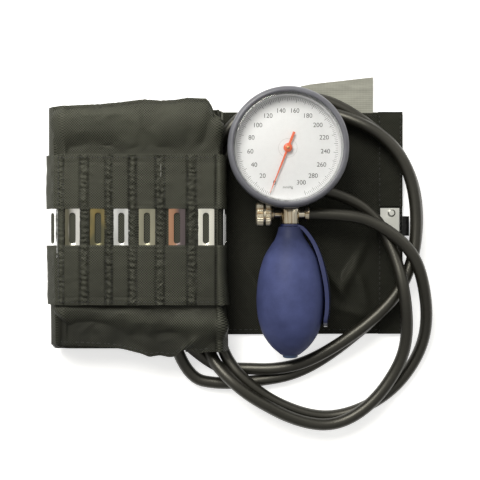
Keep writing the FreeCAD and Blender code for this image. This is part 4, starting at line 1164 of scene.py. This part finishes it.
class MONITOR_OT_gauge(bpy.types.Operator):
    """The dial gauge: bezel, lens, dial with its scale, and pointer"""
    bl_idname = "monitor.gauge"
    bl_label = "Gauge"

    def execute(self, context):
        sizes = context.scene.monitor_gauge
        case = moulded("case plastic", sizes.case, 0.38, Coat_Weight=0.15, Coat_Roughness=0.3)
        ring = [(31.0, 27.0), (32.9, 27.0), *arc((33.3, 27.2), (34.0, 28.6), 0.25, 3),
                *arc((34.0, 34.9), (32.6, 38.2), 0.5, 8), (32.2, 38.45), (31.6, 38.5),
                (31.1, 38.45), (30.8, 38.25), (30.65, 37.9), (30.6, 36.8), (31.0, 36.8),
                (31.0, 27.0)]
        lathe("bezel", ring, DIAL, case, "bezel_ring", slot="case_plastic", angle=50, segments=160)
        dome = [(0.01, 35.7), (29.3, 35.7), (29.5, 35.0), (30.55, 35.0), (30.55, 37.5),
                (30.4, 38.0), (30.1, 38.28), (29.7, 38.44), (29.2, 38.52), (28.6, 38.56),
                (25, 38.66), (20, 38.76), (10, 38.87), (0.01, 38.9)]
        lathe("lens_dome", dome, DIAL, clear_lens(), "lens", slot="lens_clear", angle=50,
              segments=128)
        white = printed("dial white", sizes.dial, 0.45)
        face = ((1.3, 29.0), (29.7, 29.0), (29.7, 29.75), (29.6, DIAL_TOP), (1.3, DIAL_TOP),
                (1.3, 29.0))
        lathe("dial", face, DIAL, white, "dial_plate", slot="dial_white", segments=128)
        wall = ((29.3, 29.85), (29.7, 29.85), (29.7, 34.7), (29.5, 34.7), (29.3, 29.85))
        lathe("dial_wall", wall, DIAL, white, segments=128)
        self.scale(sizes)
        self.pointer(sizes)
        return {"FINISHED"}

    def scale(self, sizes):
        """Ticks every 2, 10 and 20, the numbers and two rings, as thin raised print."""
        ink = printed("dial ink", sizes.ink)
        tick_end = 28.6
        for name, every, inner, width in (("ticks_fine", 2, 27.0, 0.16),
                                          ("ticks_ten", 10, 26.3, 0.2),
                                          ("ticks_twenty", 20, 25.9, 0.2)):
            deselect()
            bpy.ops.mesh.primitive_cube_add(size=1, location=(0, 0, 0))
            tick = bpy.context.object
            tick.scale = mm(width, tick_end - inner, 0.05)
            tick.location = mm(0, -(tick_end + inner) / 2, 0)
            settle(tick)
            places = []
            for value in range(0, SCALE_END + 1, every):
                turn = Matrix.Rotation(-(SCALE_START + SCALE_SWEEP * value / SCALE_END), 4, "Z")
                turn.translation = self.on_dial(0, 0)
                places.append(turn)
            put_on(copies(name, tick, places), ink)
        numbers = []
        for value in range(0, SCALE_END + 1, 20):
            angle = SCALE_START + SCALE_SWEEP * value / SCALE_END
            reach = 21.3 if value % SCALE_END else 21.0
            spot = self.on_dial(-reach * math.sin(angle), -reach * math.cos(angle))
            numbers.append(lettered("number_%d" % value, str(value), 2.55 * MM, spot))
        numbers.append(lettered("unit", "mmHg", 1.5 * MM, self.on_dial(0, -22.2)))
        put_on(join("dial_numbers", numbers), ink)
        pale = printed("pale ink", [min(1, c * 4 + 0.2) for c in sizes.ink])
        low, high = DIAL_TOP - 0.01, DIAL_TOP + 0.03
        for name, inner, outer in (("dial_ring_inner", 5.2, 5.32),
                                   ("dial_ring_outer", 29.0, 29.1)):
            lathe(name, ((inner, low), (outer, low), (outer, high), (inner, high), (inner, low)),
                  DIAL, pale, angle=None)

    @staticmethod
    def on_dial(x, y):
        """A place on the dial's face, from its middle."""
        return Vector(DIAL) + Vector(mm(x, y, DIAL_TOP))

    def pointer(self, sizes):
        """The orange hand: a wide tail, a needle that thins to its tip, a hub and a brass cap."""
        needle = ((-9.6, 0.72), (-2.0, 0.66), (24.5, 0.22), (27.6, 0.07),
                  (27.6, -0.07), (24.5, -0.22), (-2.0, -0.66), (-9.6, -0.72))
        at_zero = math.radians(-111.5)
        blade = stamped("pointer_blade", [needle], thickness=0.4, edge=0.08,
                        place=(DIAL[0], DIAL[1], 31.4 * MM), turn=(0, 0, at_zero))
        boss = ((0.5, 31.0), (2.4, 31.0), (2.5, 31.1), (2.5, 31.8), (2.35, 32.05), (1.7, 32.35),
                (0.5, 32.4), (0.5, 31.0))
        hub = turned("pointer_hub", boss, DIAL, segments=48)
        hand = join("pointer_hand", [hub, blade])
        smooth(hand, 35)
        put_on(hand, printed("pointer enamel", sizes.hand, 0.32), "pointer", slot="pointer_red",
               body="pointer_arbor")
        cap = ((0.01, 32.42), (0.95, 32.42), (0.95, 32.7), (0.8, 32.95), (0.4, 33.1),
               (0.01, 33.12))
        lathe("pointer_pin", cap, DIAL, brass("pin brass", (0.6, 0.3, 0.12)), "pointer_cap",
              slot="brass", body="pointer_arbor", segments=32)


class MONITOR_OT_valve(bpy.types.Operator):
    """The nickel valve block, its knob and the hose union"""
    bl_idname = "monitor.valve"
    bl_label = "Valve"

    def execute(self, context):
        sizes = context.scene.monitor_valve
        plate = (sizes.nickel, sizes.dark, sizes.bronze)
        along = turned_nickel("nickel plate", *plate, 1)
        across = turned_nickel("nickel plate across", *plate, 0)
        block = ((0.01, -15), (3.9, -15), (4.5, -14.2), (4.5, -5.8), (5.15, -5.8), (5.35, -5.75),
                 (5.55, -5.55), (5.6, -5.3), (5.6, 2.4), (5.5, 2.75), (5.2, 2.9), (3.5, 2.9),
                 (3.5, 6.9), (0.01, 6.9))
        union = ((1.2, 2), (2.9, 2), (2.9, 8.0), (3.6, 8.2), (4.1, 8.3), (4.3, 8.5), (4.3, 10.3),
                 (4.15, 10.6), (3.9, 10.7), (1.2, 10.7), (1.2, 2))
        bush = ((1.25, -9.0), (2.15, -9.0), (2.3, -8.85), (2.3, -6.2), (2.05, -6.0), (2.05, -5.7),
                (2.3, -5.5), (2.3, -5.0), (1.25, -5.0), (1.25, -9.0))
        for name, outline, metal, node, axis, segments in (
                ("valve_body", block, along, "valve_block", (0, 1, 0), 96),
                ("union", union, across, "hose_union", (1, 0, 0), 64),
                ("bush", bush, across, "valve_bush", (1, 0, 0), 48)):
            lathe(name, outline, UNIT, metal, node, slot="valve_nickel", axis=axis,
                  segments=segments)
        knob = self.knob()
        # painted reflection bands on the knob, in a brighter brown and a dimmer nickel
        bright = turned_nickel("knob nickel", sizes.nickel, [c * 1.5 for c in sizes.bronze],
                               [c * 0.8 for c in sizes.nickel], 0, 0.32)
        put_on(knob, bright, "valve_knob", slot="valve_nickel", body="knob")
        return {"FINISHED"}

    @staticmethod
    def knob():
        """Two knurled flanges with a groove between them and a cone towards the block."""
        low, high = -19.7, -10.8
        outline = [(1.25, low + 2.0), (1.25, low), (5.3, low), (5.9, low + 0.15), (6.6, low + 0.8),
                   (6.6, low + 4.1), (6.35, low + 4.3), (5.0, low + 4.35), (5.0, low + 5.65),
                   (6.35, low + 5.7), (6.6, low + 5.9), (6.6, high - 0.8), (5.9, high - 0.15),
                   (5.3, high), (3.8, high), (3.55, high + 0.2), (2.7, high + 1.5),
                   (1.25, high + 1.5), (1.25, low + 2.0)]
        knob = turned("knob_wheel", outline, UNIT, (1, 0, 0), KNOB_SIDES)

        def in_groove(x, y, z):
            """Every third edge of the two flanges."""
            y, z = y - UNIT[1], z - UNIT[2]
            side = round(math.atan2(z, y) / (2 * math.pi / KNOB_SIDES))
            return side % 3 == 0 and math.hypot(y, z) > 6.2 * MM

        depth = 0.94
        select(knob, "VERT", in_groove)
        bpy.ops.transform.resize(value=(1, depth, depth), center_override=UNIT)
        leave()
        smooth(knob, 25)
        return knob


class MONITOR_OT_bulb(bpy.types.Operator):
    """The squeeze bulb with its inlet valve, and the finger rest beside it"""
    bl_idname = "monitor.bulb"
    bl_label = "Bulb and finger rest"

    def execute(self, context):
        sizes = context.scene.monitor_bulb
        side = through(((6.75, -7.8), (7.15, -10.0), (8.5, -14.0), (11.6, -18.8), (15.1, -25.0),
                        (18.0, -35.0), (19.35, -46.9), (18.9, -56.9), (17.6, -63.2),
                        (15.4, -69.5), (11.0, -75.8), (6.6, -79.7), (5.4, -80.6)))
        bulb = lathe("rubber_bulb", [(4.6, -7.3), (6.3, -7.35), *side, (4.6, -80.65), (4.6, -7.3)],
                     UNIT, bulb_rubber(sizes.rubber), "bulb", slot="bulb_rubber", angle=60,
                     axis=(0, 1, 0), segments=128)
        inlet = ((0.9, -82.5), (3.4, -82.5), (3.9, -82.35), (4.4, -81.7), (4.4, -80.6),
                 (3.4, -80.4), (3.4, -73.4), (2.7, -73.4), (2.7, -76.8), (0.9, -76.8), (0.9, -82.5))
        lathe("inlet", inlet, UNIT, moulded("valve plastic", (0.06, 0.1, 0.2), 0.3), "inlet_valve",
              slot="valve_plastic", axis=(0, 1, 0), segments=64)
        glossy = moulded("glossy plastic", sizes.plastic, 0.12, 0.00001, Coat_Weight=0.8,
                         Coat_Roughness=0.05)
        put_on(self.rest(), glossy, "finger_rest", slot="rest_plastic", body="spoon")
        return {"FINISHED"}

    @staticmethod
    def rest():
        """A turned shell, trimmed to a blade, on a ring round the valve's tail."""
        outer = through(((5.2, -6.2), (7.7, -7.0), (11.2, -10.7), (15.7, -17.8), (19.6, -27.4),
                         (22.2, -37.6), (23.2, -47.0), (22.9, -56.8), (21.1, -64.9)), 3)
        inner = [(r - 2.0, h - 0.5) for r, h in reversed(outer)]
        shell = turned("rest_blade", outer + inner + outer[:1], UNIT, (0, 1, 0), 160)
        half = [(-5.9, 4.0), (-12, 4.0), (-18, 4.9), (-24, 6.4), (-31, 8.2), (-38, 9.2), (-56, 9.2)]
        half += [(-58.8 - 6 * math.sin(math.radians(n * 9)), 9.2 * math.cos(math.radians(n * 9)))
                 for n in range(1, 11)]
        plug = stamped("rest_plug", [half + [(y, -z) for y, z in reversed(half[:-1])]],
                       thickness=50, edge=0.01, place=(UNIT[0] + 0.0255, UNIT[1], UNIT[2]),
                       turn=(math.radians(90), 0, math.radians(90)))
        modify(shell, "BOOLEAN", operation="INTERSECT", object=plug, solver="EXACT")
        bpy.data.objects.remove(plug, do_unlink=True)
        modify(shell, "BEVEL", width=0.45 * MM, segments=3, limit_method="ANGLE",
               angle_limit=math.radians(50))
        ring = turned("rest_ring", ((4.65, -7.25), (5.5, -7.25), (5.7, -7.1), (5.7, -6.05),
                                    (5.5, -5.9), (4.65, -5.9), (4.65, -7.25)), UNIT, (0, 1, 0), 64)
        rest = join("rest", [shell, ring])
        smooth(rest, 40)
        return rest


class MONITOR_OT_inner_parts(bpy.types.Operator):
    """Finishes for the parts that keep their shapes: case, movement, hook and seals"""
    bl_idname = "monitor.inner_parts"
    bl_label = "Case, movement and hook"

    def execute(self, context):
        finishes = (
            (brass("movement brass"), "gauge_nipple lower_plate upper_plate movement_pillars "
                                      "sector_gear capsule_seat capsule_post"),
            (brass("capsule bronze", (0.55, 0.36, 0.18)), "pressure_capsule"),
            (plated_steel("spring steel", (0.55, 0.55, 0.56), (0.4, 0.4, 0.42), 0.25),
             "movement_screws pinion_arbor rocker hairspring"),
            (plated_steel("hook steel", (0.92, 0.92, 0.87), (0.72, 0.72, 0.66), 0.3),
             "hook_plate hook_rivets"),
            (blackened("black hook", (0.012, 0.012, 0.012)), "hook_tongue"),
            (plated_steel("needle nickel", (0.6, 0.58, 0.54), (0.4, 0.36, 0.3), 0.2),
             "valve_needle"),
            (hose_rubber((0.03, 0.03, 0.03)), "valve_seal outlet_disc inlet_disc bladder_ports"),
            (moulded("pale plastic", (0.5, 0.52, 0.52), 0.4), "outlet_seat inlet_cage"),
            (moulded("pale silicone", (0.45, 0.46, 0.47), 0.5), "lens_gasket"),
            (moulded("case back plastic", context.scene.monitor_gauge.case, 0.4), "gauge_case"))
        for finish, nodes in finishes:
            for node in nodes.split():
                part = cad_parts[node]
                for place in part.material_slots:
                    place.material = finish
                if not part.material_slots:
                    part.data.materials.append(finish)
        return {"FINISHED"}


class MONITOR_OT_stage(bpy.types.Operator):
    """White table, soft lamps and the camera straight above"""
    bl_idname = "monitor.stage"
    bl_label = "Stage"

    def execute(self, context):
        sizes = context.scene.monitor_stage
        deselect()
        bpy.ops.mesh.primitive_plane_add(size=6.0, location=(0, 0, 0))
        table = context.object
        table.name = "table"
        table.data.materials.append(self.paper())
        self.lamp("key", (-0.34, 0.62, 0.86), 0.55, sizes.key_power)
        self.lamp("glint", (0.62, 0.42, 0.50), 0.45, sizes.key_power * GLINT_SHARE)
        context.scene.world = self.world()
        camera = link("camera", bpy.data.cameras.new("camera"))
        camera.location = (sizes.camera_x, sizes.camera_y, sizes.camera_height)
        camera.data.lens = sizes.lens
        camera.data.sensor_width = 36.0
        camera.data.clip_start = 0.01
        context.scene.camera = camera
        context.scene.view_settings.view_transform = "Standard"
        return {"FINISHED"}

    @staticmethod
    def lamp(name, place, size, power):
        """A square lamp that shines at the middle of the table."""
        data = bpy.data.lights.new(name, "AREA")
        data.energy, data.size = power, size
        data.color = LAMP_COLOUR
        lamp = link(name, data)
        lamp.location = place
        lamp.rotation_euler = Vector(place).to_track_quat("Z", "Y").to_euler()

    @staticmethod
    def paper():
        """Paper that looks white to the camera and keeps the object's shadow."""
        finish = Finish("paper", (0.8, 0.8, 0.8), 0.9)
        plain = Value(finish, finish.shader.outputs[0])
        glow = finish.add("Emission", {}, {"Color": WHITE, "Strength": PAPER_GLOW})
        lit = finish.add("AddShader", {}, {0: plain, 1: glow})
        seen = finish.rays("Camera", "Glossy", "Transmission").clamped()
        finish.feed(finish.tree.nodes["Material Output"],
                    {"Surface": finish.add("MixShader", {}, {0: seen, 1: plain, 2: lit})})
        return finish.material

    @staticmethod
    def world():
        """White behind the object, and a soft sky, brighter above, behind and at the left."""
        world = bpy.data.worlds.new("studio")
        world.use_nodes = True
        nodes = Nodes(world.node_tree)
        split = nodes.add("SeparateXYZ", {}, {0: nodes.add("TexCoord", output="Generated")})
        x, y, z = (Value(nodes, output) for output in split.socket.node.outputs)
        glow = (z.clamped() * 0.37 + (y * 0.30 - x * 0.12) + 0.10).clamped()
        sky = nodes.tree.nodes["Background"]
        nodes.feed(sky, {"Color": (1.0, 0.99, 0.93, 1.0), "Strength": glow})
        white = nodes.add("Background", {}, {"Color": WHITE})
        seen = nodes.rays("Camera", "Transmission") + nodes.rays("Glossy") * 0.3
        mixed = nodes.add("MixShader", {}, {
            0: seen.clamped(), 1: Value(nodes, sky.outputs[0]), 2: white})
        nodes.feed(nodes.tree.nodes["World Output"], {"Surface": mixed})
        return world


class MONITOR_PT_panel(bpy.types.Panel):
    """Lists the sizes and the pieces of the monitor"""
    bl_idname = "MONITOR_PT_panel"
    bl_label = "Pressure Monitor"
    bl_space_type = "VIEW_3D"
    bl_region_type = "UI"
    bl_category = "Monitor"

    def draw(self, context):
        for settings in SETTINGS:
            box = self.layout.box()
            group = getattr(context.scene, settings)
            for name in group.__annotations__:
                box.prop(group, name)
        for operator in OPERATORS:
            self.layout.operator(operator.bl_idname)


SETTINGS = {"monitor_hoses": HoseSettings, "monitor_cuff": CuffSettings,
            "monitor_gauge": GaugeSettings, "monitor_valve": ValveSettings,
            "monitor_bulb": BulbSettings, "monitor_stage": StageSettings}
OPERATORS = (MONITOR_OT_stage, MONITOR_OT_hoses, MONITOR_OT_cover, MONITOR_OT_lining,
             MONITOR_OT_band, MONITOR_OT_bars, MONITOR_OT_hook_end, MONITOR_OT_gauge,
             MONITOR_OT_valve, MONITOR_OT_bulb, MONITOR_OT_inner_parts)


def register():
    for name, group in SETTINGS.items():
        bpy.utils.register_class(group)
        setattr(bpy.types.Scene, name, PointerProperty(type=group))
    for operator in OPERATORS:
        bpy.utils.register_class(operator)
    bpy.utils.register_class(MONITOR_PT_panel)


def unregister():
    bpy.utils.unregister_class(MONITOR_PT_panel)
    for operator in reversed(OPERATORS):
        bpy.utils.unregister_class(operator)
    for name, group in reversed(SETTINGS.items()):
        delattr(bpy.types.Scene, name)
        bpy.utils.unregister_class(group)


def main():
    register()
    for operator in OPERATORS:
        family, name = operator.bl_idname.split(".")
        getattr(getattr(bpy.ops, family), name)()


if __name__ == "__main__":
    main()
